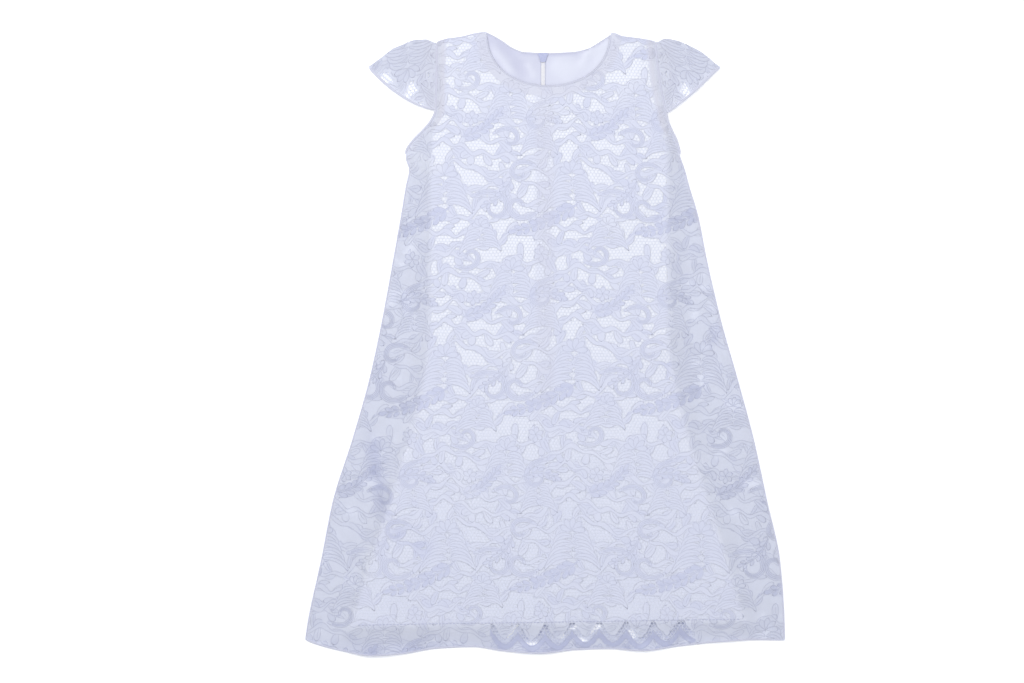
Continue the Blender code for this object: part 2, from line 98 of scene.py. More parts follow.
Point = namedtuple("Point", "x y")
LEFT_SHOULDER = table(Point, (-108, 302), (-98, 305), (-84, 307), (-72, 310), (-60, 312))
RIGHT_SHOULDER = table(Point, (69, 311), (78, 307.5), (90, 306), (100, 304.5), (110, 302.5))
BACK_NECK = table(
    Point,
    (-60, 312), (-45, 304), (-33, 296), (-21, 291.5), (3, 290.5), (27, 291.5), (42, 294.5),
    (57, 303), (69, 311),
)
LACE_HEM = table(
    Point,
    (-240, -296), (-227, -301), (-203, -307), (-173, -312), (-143, -310), (-107, -304.5),
    (-72, -303), (-42, -307), (-5, -309.5), (31, -306), (66, -305), (97, -307), (133, -302.5),
    (175, -298), (210, -296), (240, -296.5),
)
LINING_HEM = table(Point, (-195, -282), (201, -276))

# The front neckline is half of a superellipse
NECK_MIDDLE_X = 3.5
NECK_HALF_WIDTH = 62.0
NECK_TOP_Y = 310.0
NECK_DEPTH = 52.6
NECK_POWER = 2.15

# Soft folds that grow towards the hem, then folds that fade out at both ends
Fold = namedtuple("Fold", "head_x head_y foot_x foot_y half_width rise")
HEM_FOLDS = table(
    Fold,
    (-146, -110, -168, -312, 27, 3.3), (-2, -150, -12, -310, 32, 2.6),
    (82, -190, 98, -307, 24, 2.1), (160, -120, 186, -298, 22, 1.8),
)
LYING_FOLDS = table(
    Fold,
    (-180, -60, -128, -228, 17, 2.6), (150, 44, 92, -40, 20, 1.6),
    (-96, 120, -40, 60, 24, 1.2), (118, 150, 44, 118, 16, 1.3),
)
LYING_ENDS = 2.5
MOST_RISE = 3.5
EDGE_FADE = 28.0

# Fine creases of the front, then of the back lining inside the neck. Below nought is a trough. They are
# also painted: shade in their troughs and light on their ridges.
CREASES = table(
    Fold,
    (-178, -70, -156, -190, 9, -0.8), (-160, -176, -108, -215, 10, -0.8),
    (-177, -196, -173, -248, 7, 0.9), (-140, 188, -98, 173, 7, 1.1), (-98, 284, -60, 230, 8, 0.6),
    (104, 280, 66, 236, 8, 0.6), (120, 154, 108, 118, 6, -0.6), (173, 26, 165, -8, 6, -0.6),
    (126, -6, 112, -40, 7, -0.6), (50, 130, 84, 110, 7, 0.6), (-30, 236, 44, 224, 9, 0.5),
    (-60, 10, -20, -34, 9, 0.6), (34, -96, 74, -128, 10, 0.6), (-92, -118, -58, -180, 10, 0.5),
)
BACK_CREASES = table(
    Fold,
    (-58, 302, -26, 262, 5, 0.8), (-48, 304, -24, 286, 5, -0.5), (-34, 288, -14, 262, 6, -0.4),
    (-20, 284, -8, 262, 4, 0.5), (2, 284, 34, 264, 9, 0.6), (24, 290, 52, 282, 4, -0.4),
    (50, 304, 34, 272, 4, 0.7),
)
CREASE_ENDS = 3.0
BACK_CREASES_FOOT_Y = 250.0
BACK_CREASES_FADE = 12.0

# The roll where the back lining is turned under at the neck
NECK_ROLL_RISE = 0.35
NECK_ROLL_DOWN = 5.7
NECK_ROLL_HALF_WIDTH = 1.6

# Sleeves, with the fold along the top and the free hem below: the distance out from the armhole seam
# as a share of the length, the heights of the fold and of the hem, and the thickness at the middle
SleeveSection = namedtuple("SleeveSection", "out fold_y hem_y thick")
LEFT_SLEEVE = table(
    SleeveSection,
    (0.00, 302.0, 233.5, 5.6), (0.03, 302.2, 233.7, 5.6), (0.14, 305.0, 235.2, 5.7),
    (0.30, 304.8, 239.0, 5.8), (0.48, 300.5, 245.5, 5.7), (0.64, 296.0, 253.0, 5.3),
    (0.80, 288.0, 262.0, 4.6), (0.92, 282.0, 270.0, 3.8), (1.00, 278.5, 275.5, 3.2),
)
RIGHT_SLEEVE = table(
    SleeveSection,
    (0.00, 302.5, 230.5, 5.6), (0.03, 302.7, 231.0, 5.6), (0.14, 306.0, 234.5, 5.7),
    (0.30, 304.5, 240.5, 5.8), (0.48, 300.0, 248.0, 5.7), (0.64, 295.0, 256.0, 5.3),
    (0.80, 288.0, 265.0, 4.6), (0.92, 281.5, 272.0, 3.8), (1.00, 278.0, 275.5, 3.2),
)
LEFT_TIP_X = -176.0
RIGHT_TIP_X = 175.0
ARMHOLE_MIDDLE_Y = 270
GATHERS = 5
GATHER_RISE = 0.5
GATHER_REACH = 0.35
GATHER_START = 0.08

# Zip down the centre back, and how far both halves of the back part round it
ZIP_X = -2.0
ZIP_FOOT_Y = -56.0
CHAIN_HALF_WIDTH = 1.55
CHAIN_TOP_Y = 282.4
LINING_PARTING = 1.9
POCKET_FOOT_Y = 264.0
POCKET_HALF_WIDTH = 3.9

# Seam allowances that show through the front lace: how wide they are, how soft, and how strong; last,
# the strength of the painted shade over the zip down the middle
ARMHOLE_ALLOWANCE = 10.0
SIDE_ALLOWANCE = 5.0
NECK_ALLOWANCE = 11.0
ALLOWANCE_BLUR = 3.0
SIDE_STRENGTH = 0.8
NECK_STRENGTH = 0.6
ZIP_SHADE_STRENGTH = 0.35

# Where the net is closed: in strong allowances, and on a rim just past the lining's edge
CLOSED_FROM = 0.45
CLOSED_STEEPNESS = 4
RIM_MIDDLE = 3.0
RIM_HALF_WIDTH = 2.5
LINING_EDGE_BLUR = 6

# Lace: one repeat, the grid that it is read on, and how far each layer of it lies in its wall
REPEAT_WIDTH = 127.0
REPEAT_HEIGHT = 178.0
STROKE_STEP = 1.5
CELL = 0.5
FAR = 9.0
STROKE_REACH = 3.0
HIDING_DEPTH = 0.3
CLOTH_MARGIN = 0.3
NET_OVERLAP = 0.9
CLOTH_LIFT = 0.12
NET_LIFT = 0.04
CORD_FOOT = CLOTH_LIFT - 0.02
CORD_LIFT = 0.45
CORD_MARGIN = 0.8
EDGE_BAND = 1.2
SLEEVE_BAND = 1.6

# How much of the net is filled in where there is no lining, and the painted shade in the lace: shade in
# crease troughs, light on crease ridges, and shade towards the hem
FILL = 1.8
FRONT_FILL = 9.0
CREASE_SHADING = 0.8
HEM_SHADING = 0.5
HEM_SHADING_TOP_Y = -286
HEM_SHADING_REACH = 24

Stroke = namedtuple("Stroke", "path widths tone window")

# Rippled bands that run sideways through the repeat, one above the other, and the least and most of
# the leaves that lean off them: lean, length, bend, width and tone
Wave = namedtuple("Wave", "y arch dip ripple ripples phase")
GROUND_LINES = table(
    Wave,
    (-80, 5, 4, 2.4, 6, 0.2), (-63, -7, -4, 2.6, 5, 2.1), (-45, -9, 3, 2.4, 6, 0.7),
    (-26, -8, 5, 2.8, 5, 1.9), (-8, -6, 4, 2.4, 6, 0.3), (10, 5, -4, 2.6, 5, 2.4),
    (28, 9, 3, 2.4, 6, 0.9), (46, 10, -3, 2.8, 5, 2.7), (63, 7, 4, 2.4, 6, 1.3),
    (80, 6, 3, 2.0, 5, 0.4),
)
GROUND_TONE = 0.25
LEAST_LEAF = (16, 11, 20, 2.1, 0.1)
MOST_LEAF = (66, 19, 95, 3.9, 0.55)
FORWARD_LEAVES = 0.6
LEAF_TURNS = [1, 1, -0.6]
BROAD_LEAF = 2.6
VEINED_LEAF = 14
VEIN = 0.12
THINNEST_OUTLINED = 0.3

# Fronds that hang in pairs from an upright stem, and petals round a middle
Fronds = namedtuple("Fronds", "x y pairs drop long width")
FRONDS = table(
    Fronds,
    (-4, 6, 5, 7.0, 36, 3.2), (60, 88, 5, 6.6, 33, 3.0), (30, -46, 4, 5.8, 26, 2.6),
    (-36, 48, 4, 5.6, 24, 2.5),
)
FROND_TONE = 0.3
Petals = namedtuple("Petals", "x y count long width first sweep")
PETALS = table(
    Petals,
    (-4, 6, 5, 13, 2.8, -80, 200), (60, 88, 5, 12, 2.6, -80, 200), (30, -46, 5, 9, 2.2, -80, 200),
    (-38, -76, 6, 8.0, 2.3, 0, 360), (22, 62, 6, 7.5, 2.2, 0, 360),
)
PETAL_BEND = 18
PETAL_TONE = 0.4

# Scrolls: a band that rolls up at its end, open along its middle
Scroll = namedtuple("Scroll", "x y heading length bend width")
SCROLLS = table(
    Scroll,
    (22, -16, 70, 72, 300, 2.7), (-26, 78, -100, 58, -290, 2.5), (-40, -34, 240, 56, 300, 2.5),
    (44, 46, 60, 48, 290, 2.3), (-40, 12, -60, 48, -290, 2.3), (4, -84, 110, 48, -300, 2.3),
)
SCROLL_TIGHTENING = 1.9
SCROLL_TONE = 0.55
SCROLL_OPENING = 0.34

# Sprays: leaves in pairs along a bent stem
Spray = namedtuple("Spray", "x y heading length bend pairs long width tone")
SPRAYS = table(
    Spray,
    (0, -26, 236, 66, 22, 8, 12.5, 2.5, 1.0), (12, 44, 84, 44, -50, 6, 11, 2.2, 0.8),
    (-52, 60, 60, 34, 60, 5, 10, 2.1, 0.7), (62, 0, 200, 36, 50, 5, 9.5, 2.0, 0.6),
)
SPRAY_LEAN = 50
SPRAY_BEND = 38
SPRAY_STEM = 0.7

# The border of pointed scallops that shows at the hem, right of the middle
SCALLOP_LEFT = -54.0
SCALLOP_RIGHT = 150.0
SCALLOP_PITCH = 27.0
SCALLOP_RISE = 12.0
SCALLOP_FOOT = 4.5
SCALLOP_POWER = 1.7
SCALLOP_HALF_BAND = 2.3
SCALLOP_WINDOW = 9.5
SCALLOP_TONE = 1.5
NO_SCALLOPS = 99.0

# Turned edges and seams, raised from one height to another over the face of the cloth
Roll = namedtuple("Roll", "width low high")
NECK_BINDING = Roll(2.0, -0.6, 0.95)
BACK_NECK_EDGE = Roll(1.8, 0.2, 1.1)
ARMHOLE_EDGE = Roll(2.4, -0.2, 1.0)
SIDE_SEAM = Roll(1.8, -1.0, 0.9)
SHOULDER_SEAM = Roll(2.0, -3.0, 0.95)
SLEEVE_HEM = Roll(1.8, 0.1, 0.7)
HEM_EDGE = Roll(1.8, -0.2, 0.9)
STITCH = Roll(0.7, 0.4, 0.95)
ROLL_SECTION = (-1, -0.7, 0, 0.7, 1)
ROLL_TONE = 0.8
UNDERARM_Y = 190.0
ARMHOLE_TOP_Y = 302.0
SIDE_FOOT_Y = -296.0

# The zip's coil: its turns, and the core that they are wound on
COIL_TURN = Roll(1.15, 0.45, 1.05)
COIL_CORE = Roll(2 * CHAIN_HALF_WIDTH + 1.0, 0.55, 0.8)
COIL_SECTION = (-1, -0.6, 0, 0.6, 1)
COIL_PROUD = 0.25
METAL_ROUNDING = 0.22

SATIN_WALL = 0.35
FRONT_SATIN_LIFT = -0.03
BACK_SATIN_LIFT = -0.15


def smooth_step(value):
    """From 0 to 1 with level ends."""
    value = np.clip(value, 0.0, 1.0)
    return value * value * (3.0 - 2.0 * value)


def through(rows, key, column, at):
    """A smooth curve through one column of a table, read at a value of its key column.

    Its slope at each row is the harmonic mean of those on both sides, so it never swings past a row.
    """
    rows = sorted(rows, key=lambda row: getattr(row, key))
    knots = np.array([getattr(row, key) for row in rows], float)
    values = np.array([getattr(row, column) for row in rows], float)
    rates = np.diff(values) / np.diff(knots)
    before, after = rates[:-1], rates[1:]
    same_way = before * after > 0
    means = np.where(same_way, 2 * before * after / np.where(same_way, before + after, 1), 0.0)
    slopes = np.concatenate([rates[:1], means, rates[-1:]])
    at = np.clip(at, knots[0], knots[-1])
    i = np.clip(np.searchsorted(knots, at) - 1, 0, len(knots) - 2)
    span = knots[i + 1] - knots[i]
    t = (at - knots[i]) / span
    start = (1 + 2 * t) * (1 - t) ** 2 * values[i] + t * (1 - t) ** 2 * span * slopes[i]
    end = t * t * (3 - 2 * t) * values[i + 1] - t * t * (1 - t) * span * slopes[i + 1]
    return start + end


def edge_of(edges, side):
    return lambda y: through(edges, "y", side, y)


lace_left, lace_right = edge_of(LACE_EDGES, "left"), edge_of(LACE_EDGES, "right")
lining_left, lining_right = edge_of(LINING_EDGES, "left"), edge_of(LINING_EDGES, "right")


def lace_hem(x):
    return through(LACE_HEM, "x", "y", x)


def lining_hem(x):
    first, last = LINING_HEM
    return first.y + (last.y - first.y) * (x - first.x) / (last.x - first.x)


def fold_part(fold, x, y):
    """How far along the fold a point lies, from 0 at its head to 1 at its foot, and its bell across."""
    along_x = fold.foot_x - fold.head_x
    along_y = fold.foot_y - fold.head_y
    length = math.hypot(along_x, along_y)
    along = ((x - fold.head_x) * along_x + (y - fold.head_y) * along_y) / length**2
    across = ((x - fold.head_x) * along_y - (y - fold.head_y) * along_x) / length
    return along, np.exp(-((across / fold.half_width) ** 2))


def creases(folds, x, y, rise=0.0, ends=CREASE_ENDS):
    """A rise, and how far folds that fade out at both ends lift the cloth at a point."""
    for fold in folds:
        along, bell = fold_part(fold, x, y)
        rise = rise + fold.rise * bell * smooth_step(ends * along) * smooth_step(ends * (1 - along))
    return rise


def fold_rise(x, y):
    """How far the folds lift the front off the flat stack. The side seams stay down."""
    rise = 0.0
    for fold in HEM_FOLDS:
        along, bell = fold_part(fold, x, y)
        rise = rise + fold.rise * bell * smooth_step(along)
    rise = creases(LYING_FOLDS, x, y, rise, LYING_ENDS)
    from_edge = np.minimum(x - lace_left(y), lace_right(y) - x)
    return np.minimum(rise, MOST_RISE) * smooth_step(from_edge / EDGE_FADE)


def cover(x, y):
    """1 where the front lace lies on the lining, falling to 0 where it lies on the back lace."""
    above = smooth_step((y - DROP_FULL_Y) / (DROP_LEAST_Y - DROP_FULL_Y))
    share = 1 - above * (1 - SHOULDER_DROP_SHARE)
    left_width = np.minimum(lining_left(y) - lace_left(y), DROP_LENGTH)
    right_width = np.minimum(lace_right(y) - lining_right(y), DROP_LENGTH)
    past_side = np.maximum((lining_left(y) - x) / left_width, (x - lining_right(y)) / right_width)
    past_hem = (lining_hem(x) - y) / HEM_DROP_LENGTH
    return (1 - share * smooth_step(past_side)) * (1 - smooth_step(past_hem))


def curved_path(x, y, heading, length, bend=0.0, tighten=1.0):
    """A path from a point. The heading is in degrees from up, and turns by the bend on the way."""
    count = max(5, round(length / STROKE_STEP))
    share = (np.arange(count) + 0.5) / count
    angle = np.radians(heading + bend * share**tighten)
    steps = np.column_stack([np.sin(angle), np.cos(angle)]) * length / count
    return np.vstack([[x, y], [x, y] + np.cumsum(steps, axis=0)])


def leaf_form(share):
    return np.sin(np.pi * share**0.85) ** 0.7


def drop_form(share):
    return np.sqrt(np.sin(np.pi * share**1.5).clip(0))


def stem_form(share):
    return np.clip(np.minimum(share, 1 - share) / 0.05, 0.3, 1) ** 0.5


def scroll_form(share):
    return 0.45 + 0.55 * np.sin(np.pi * share**0.8)


def stretches(points, keep):
    """The parts of a line whose points are kept, where they are two points or more."""
    edges = np.flatnonzero(np.diff(np.concatenate([[False], keep, [False]]).astype(int)))
    return [points[a:b] for a, b in zip(edges[::2], edges[1::2]) if b - a > 1]


def sides_of(path):
    """The direction to the left of a path at each of its points."""
    along = np.gradient(path, axis=0)
    along /= np.maximum(np.hypot(*along.T), 1e-6)[:, None]
    return np.column_stack([-along[:, 1], along[:, 0]])


class LaceRepeat:
    """One repeat of the lace as strokes, each laid over those before it, and read back from a grid."""

    def __init__(self):
        self.strokes = []
        self.chance = np.random.default_rng(4)
        for wave in GROUND_LINES:
            self.ground_line(wave)
        for row in FRONDS:
            self.fronds(*row)
        for row in PETALS:
            self.petals(*row)
        for row in SCROLLS:
            path = curved_path(*row[:5], SCROLL_TIGHTENING)
            self.lay(path, scroll_form, row.width, SCROLL_TONE)
            self.lay(path[3:-2], scroll_form, SCROLL_OPENING * row.width, 0.0, window=True)
        for row in SPRAYS:
            self.spray(*row)
        self.read_strokes()
        self.runs = self.seen_outlines()

    def lay(self, path, form, width, tone, window=False):
        widths = width * form(np.linspace(0, 1, len(path)))
        self.strokes.append(Stroke(path, widths, tone, window))

    def ground_line(self, wave):
        """A rippled band that runs sideways, with leaves that lean off it on both sides."""
        half, count = REPEAT_WIDTH / 2, round(REPEAT_WIDTH / STROKE_STEP) + 1
        x = np.linspace(-half, half, count)
        turn = 2 * np.pi * x / REPEAT_WIDTH
        y = wave.y + wave.arch * np.cos(turn) + wave.dip * np.cos(2 * turn + wave.phase)
        y += wave.ripple * np.cos(wave.ripples * turn + 2 * wave.phase + 0.8 * np.sin(turn))
        wide = 1.8 + 0.9 * np.cos(wave.ripples * turn + wave.phase) * np.cos(2 * turn)
        path = np.column_stack([x, y])
        slope = np.degrees(np.arctan2(np.gradient(x), np.gradient(y)))
        k, side = int(self.chance.integers(2, 5)), 1
        while k < len(x) - 3:
            lean, size, bend, width, tone = self.chance.uniform(LEAST_LEAF, MOST_LEAF)
            way = 1 if self.chance.random() < FORWARD_LEAVES else -1
            head = slope[k] + (0 if way > 0 else 180) - side * way * lean
            bend = side * way * bend * self.chance.choice(LEAF_TURNS)
            form = drop_form if width > BROAD_LEAF else leaf_form
            self.lay(curved_path(*path[k], head, size, bend), form, width, tone)
            if size > VEINED_LEAF:
                self.lay(curved_path(*path[k], head, size * 0.8, bend), stem_form, VEIN, tone)
            side = -side
            k += int(self.chance.integers(4, 8))
        self.strokes.append(Stroke(path, np.maximum(wide, 0.9), GROUND_TONE, False))

    def fronds(self, x, y, pairs, drop, long, width):
        """Fronds that leave one upright stem in pairs, each pair lower than the last, and hang down."""
        for k in range(pairs):
            share = k / (pairs - 1)
            for side, lean in ((-1, 1.0), (1, 0.9)):
                length = lean * long * (0.62 + 0.38 * share)
                head, bend = side * (52 + 8 * share), side * (128 - 26 * share)
                path = curved_path(x + 0.6 * side, y - drop * k, head, length, bend, 0.9)
                self.lay(path, leaf_form, width, FROND_TONE)
                self.lay(path[1:-4], stem_form, VEIN, FROND_TONE)

    def petals(self, x, y, count, long, width, first, sweep):
        for k in range(count):
            path = curved_path(x, y, first + sweep * k / count, long, PETAL_BEND)
            self.lay(path, drop_form, width, PETAL_TONE)

    def spray(self, x, y, heading, length, bend, pairs, long, width, tone):
        """Leaves in pairs along a stem, smaller towards its end, with one more at the end."""
        stem = curved_path(x, y, heading, length, bend)
        for k in range(pairs):
            share = (k + 0.6) / pairs
            foot = stem[int(share * (len(stem) - 1))]
            size = long * (1 - 0.35 * share)
            for side in (-1, 1):
                head = heading + bend * share + side * SPRAY_LEAN
                path = curved_path(*foot, head, size, -side * SPRAY_BEND)
                self.lay(path, drop_form, width * (1 - 0.25 * share), tone)
        self.lay(curved_path(*stem[-1], heading + bend, 0.8 * long), drop_form, 0.8 * width, tone)
        self.lay(stem, stem_form, SPRAY_STEM, tone)

    def read_strokes(self):
        """Fill the grids: how far each cell is from clothwork, its tone, and its topmost stroke."""
        shape = round(REPEAT_HEIGHT / CELL), round(REPEAT_WIDTH / CELL)
        cloth = np.full(shape, FAR)
        self.tone = np.zeros(shape)
        self.top = np.full(shape, -1)

        def cells(middle, reach):
            return np.arange(
                math.floor((middle - reach) / CELL), math.ceil((middle + reach) / CELL) + 1
            )

        for order, stroke in enumerate(self.strokes):
            for (x, y), width in zip(stroke.path, stroke.widths):
                i, j = cells(x, width + STROKE_REACH), cells(y, width + STROKE_REACH)
                away = np.hypot(i[None, :] * CELL - x, j[:, None] * CELL - y) - width
                at = np.ix_(j % shape[0], i % shape[1])
                if stroke.window:
                    cloth[at] = np.where(away < 0, np.maximum(cloth[at], -away), cloth[at])
                else:
                    cloth[at] = np.minimum(cloth[at], away)
                    self.tone[at] = np.where(away < 0, stroke.tone, self.tone[at])
                self.top[at] = np.where(away < -HIDING_DEPTH, order, self.top[at])
        self.field = cloth - CLOTH_MARGIN

    def seen_outlines(self):
        """The outlines of the strokes, and the veins, where no later stroke hides them."""
        rows, columns = self.top.shape
        runs = []
        for order, stroke in enumerate(self.strokes):
            side = sides_of(stroke.path) * stroke.widths[:, None]
            left, right = stroke.path + side, stroke.path - side
            through_repeat = abs(stroke.path[-1][0] - stroke.path[0][0]) > REPEAT_WIDTH - 1
            lines = [left, right] if through_repeat else [np.vstack([left, right[::-1], left[:1]])]
            if stroke.widths.max() < THINNEST_OUTLINED:
                lines = [stroke.path]
            for line in lines:
                i = np.round(line[:, 0] / CELL).astype(int) % columns
                j = np.round(line[:, 1] / CELL).astype(int) % rows
                runs += stretches(line, self.top[j, i] <= order)
        return runs

    def read(self, grid, x, y):
        """The value of a grid at any point, as the repeat goes on over the whole cloth."""
        rows, columns = grid.shape
        u, v = x / CELL, y / CELL
        i, j = np.floor(u).astype(int), np.floor(v).astype(int)
        a, b = u - i, v - j
        i, j, i_next, j_next = i % columns, j % rows, (i + 1) % columns, (j + 1) % rows
        low = grid[j, i] * (1 - a) + grid[j, i_next] * a
        high = grid[j_next, i] * (1 - a) + grid[j_next, i_next] * a
        return low * (1 - b) + high * b


def drift(x, y):
    """The slow uneven pull of lace that has been laid by hand."""
    across = 2.2 * np.sin(y / 47 + 0.6) + 1.3 * np.sin(x / 61 + y / 83)
    up = 2.0 * np.sin(x / 53 + 1.1) + 1.2 * np.sin((x + y) / 71)
    return across, up


class Panel:
    """A flat cut of cloth: how far a point is past its edge, and where each point of it lies."""

    def __init__(self, low, high, outside, place, shift, unlined, seam=None, border=None,
                 closed=None, band=EDGE_BAND, fill=FILL, mirrored=False):
        self.low, self.high = low, high
        self.outside, self.place, self.shift = outside, place, shift
        self.unlined, self.seam, self.border = unlined, seam, border
        self.closed, self.band, self.fill, self.mirrored = closed, band, fill, mirrored

    def in_repeat(self, x, y):
        y = np.abs(y) if self.mirrored else y
        across, up = drift(x, y)
        return x - across - self.shift[0], y - up - self.shift[1]

    def lace_field(self, x, y):
        """Below nought on the clothwork and above it over the net."""
        field = REPEAT.read(REPEAT.field, *self.in_repeat(x, y)) - self.fill * self.unlined(x, y)
        if self.closed:
            field = np.minimum(field, self.closed(x, y))
        if self.border:
            field = self.border.field(x, y, field)
        return field

    def cloth_field(self, x, y):
        """Below nought on the clothwork, with the panel's edge and its narrow band counted in."""
        outside = self.outside(x, y)
        return np.maximum(np.minimum(self.lace_field(x, y), -outside - self.band), outside)

    def tone(self, x, y):
        """How dark the lace is painted: denser in its motifs, painted shade in the troughs of its
        creases and painted light on their ridges, and painted shade towards the hem.
        """
        tone = REPEAT.read(REPEAT.tone, *self.in_repeat(x, y)) - CREASE_SHADING * creases(CREASES, x, y)
        tone = tone + HEM_SHADING * smooth_step((HEM_SHADING_TOP_Y - y) / HEM_SHADING_REACH)
        return self.border.tone(x, y, tone) if self.border else tone

    def marks(self, x, y):
        """What the paint needs to know at each point: density with painted shade, seam allowance with
        painted shade over the zip, and missing lining.
        """
        seam = self.seam(x, y) if self.seam else np.zeros(np.shape(x))
        return {"tone": self.tone(x, y), "seam": seam, "unlined": self.unlined(x, y)}


def kept(points, faces):
    """The same faces on the points that they use."""
    corners = np.concatenate([block.ravel() for block in faces])
    used, inverse = np.unique(corners, return_inverse=True)
    blocks, start = [], 0
    for block in faces:
        blocks.append(inverse[start : start + block.size].reshape(block.shape))
        start += block.size
    return points[used], blocks


def cut_patch(low, high, step, field):
    """Plan points and faces of the area where a field is below nought, cut cleanly along its edge."""
    x = np.arange(low[0], high[0] + step, step)
    y = np.arange(low[1], high[1] + step, step)
    across, up = np.meshgrid(x, y)
    value = field(across, up)
    rows, columns = value.shape
    corner = np.arange(rows * columns).reshape(rows, columns)
    level = rows * columns + np.arange(rows * (columns - 1)).reshape(rows, columns - 1)
    upright = level[-1, -1] + 1 + np.arange((rows - 1) * columns).reshape(rows - 1, columns)
    grid = np.stack([across, up], axis=-1)

    def crossings(first, second, start, end):
        change = first - second
        share = np.clip(first / np.where(change == 0, 1, change), 0.04, 0.96)[..., None]
        return (start + (end - start) * share).reshape(-1, 2)

    on_level = crossings(value[:, :-1], value[:, 1:], grid[:, :-1], grid[:, 1:])
    on_upright = crossings(value[:-1], value[1:], grid[:-1], grid[1:])
    points = np.vstack([grid.reshape(-1, 2), on_level, on_upright])
    ring = [
        corner[:-1, :-1], level[:-1], corner[:-1, 1:], upright[:, 1:],
        corner[1:, 1:], level[1:], corner[1:, :-1], upright[:, :-1],
    ]
    inside = value < 0
    case = inside[:-1, :-1] + 2 * inside[:-1, 1:] + 4 * inside[1:, 1:] + 8 * inside[1:, :-1]
    faces = []
    for number in range(1, 16):
        here = case == number
        if not here.any():
            continue
        used = []
        for k in range(4):
            if number >> k & 1:
                used.append(ring[2 * k][here])
            if (number >> k & 1) != (number >> (k + 1) % 4 & 1):
                used.append(ring[2 * k + 1][here])
        faces.append(np.column_stack(used))
    return kept(points, faces)


def net_patch(panel, pitch, thread):
    """The net in a panel's windows: six-sided holes, with one flat plate of threads between them."""
    rise = pitch * math.sqrt(3) / 2
    columns = math.ceil((panel.high[0] - panel.low[0]) / pitch) + 3
    rows = math.ceil((panel.high[1] - panel.low[1]) / rise) + 3
    j, i = np.mgrid[0:rows, 0:columns]
    x = (panel.low[0] + (i - 1 + 0.5 * (j % 2)) * pitch)[..., None]
    y = (panel.low[1] + (j - 1) * rise)[..., None]
    hole = (pitch - thread) / math.sqrt(3)
    angles = np.radians(np.arange(30, 390, 60))
    points = np.stack([x + hole * np.cos(angles), y + hole * np.sin(angles)], axis=-1)
    points = points.reshape(-1, 2)
    points[:, 0] += 0.35 * np.sin(points[:, 1] / 5.1) + 0.2 * np.sin(points[:, 0] / 3.7)
    points[:, 1] += 0.35 * np.sin(points[:, 0] / 6.3 + 1.0)

    def corners(*places):
        """Corners of holes, each so far across and up from every hole, as the rows of a block."""
        numbers = [((j + up) * columns + i + across) * 6 + k for across, up, k in places]
        return np.column_stack([number[:-1, 1:-1].reshape(-1) for number in numbers])

    odd = j % 2
    threads = np.vstack(
        [
            corners((0, 0, 5), (1, 0, 3), (1, 0, 2), (0, 0, 0)),
            corners((0, 0, 0), (odd, 1, 4), (odd, 1, 3), (0, 0, 1)),
            corners((0, 0, 1), (odd - 1, 1, 5), (odd - 1, 1, 4), (0, 0, 2)),
        ]
    )
    knots = np.vstack(
        [
            corners((0, 0, 1), (odd, 1, 3), (odd - 1, 1, 5)),
            corners((0, 0, 0), (1, 0, 2), (odd, 1, 4)),
        ]
    )
    faces = []
    for block in (threads, knots):
        middle = points[block].mean(axis=1)
        outside = panel.outside(middle[:, 0], middle[:, 1])
        field = panel.lace_field(middle[:, 0], middle[:, 1])
        faces.append(block[(field > -NET_OVERLAP) & (outside < -0.5)])
    return kept(points, faces)


def thinned(run, turn=11.0, most=5.0):
    """A line without the points that it can spare: it keeps those where it has turned or gone far."""
    last = 0
    picked = [0]
    steps = np.diff(run, axis=0)
    angle = np.degrees(np.unwrap(np.arctan2(steps[:, 1], steps[:, 0])))
    for k in range(1, len(run) - 1):
        far = np.hypot(*(run[k] - run[last]))
        if abs(angle[k] - angle[last]) > turn or far > most:
            picked.append(k)
            last = k
    return run[picked + [len(run) - 1]]


def ridge_strips(runs, roll, place, section=(-1, 0, 1)):
    """Raised strips along plan lines, each with an arched section and tapered ends."""
    section = np.array(section, float)
    arch = 1 - section**2
    count = len(section)
    plan, lifts, faces, start = [], [], [], 0
    for run in runs:
        taper = np.ones(len(run))
        taper[[0, -1]] = 0.5
        half_width = (taper * roll.width / 2)[:, None, None]
        offset = section[None, :, None] * sides_of(run)[:, None] * half_width
        plan.append((run[:, None] + offset).reshape(-1, 2))
        lifts.append((roll.low + (roll.high - roll.low) * arch[None, :] * taper[:, None]).ravel())
        at = np.arange(len(run) - 1)[:, None] * count + np.arange(count - 1)[None, :]
        at = start + at.ravel()
        faces.append(np.column_stack([at, at + 1, at + 1 + count, at + count]))
        start += len(run) * count
    plan, lifts = np.vstack(plan), np.concatenate(lifts)
    return place(plan[:, 0], plan[:, 1], lifts), [np.vstack(faces)]


def repeats_over(low, high, shift, size):
    """Where the repeats that may touch a panel have their middle, along one axis."""
    first, last = math.floor((low - shift) / size) - 1, math.ceil((high - shift) / size) + 1
    return [number * size + shift for number in range(first, last + 1)]


def cord_runs(panel):
    """The lace's outlines over a panel, copied from the repeat and cut off at the panel's edge."""
    runs = []
    for x in repeats_over(panel.low[0], panel.high[0], panel.shift[0], REPEAT_WIDTH):
        for y in repeats_over(panel.low[1], panel.high[1], panel.shift[1], REPEAT_HEIGHT):
            for run in REPEAT.runs:
                line = run + [x, y]
                if (line.max(0) < panel.low).any() or (line.min(0) > panel.high).any():
                    continue
                line = line + np.column_stack(drift(line[:, 0], line[:, 1]))
                keep = panel.outside(line[:, 0], line[:, 1]) < -CORD_MARGIN
                if panel.mirrored:
                    keep &= line[:, 1] > 0
                if panel.border:
                    keep &= ~panel.border.hides(line[:, 0], line[:, 1])
                runs += [thinned(part) for part in stretches(line, keep)]
    if panel.border:
        runs += panel.border.runs()
    if panel.mirrored:
        runs += [run * [1, -1] for run in runs]
    return runs


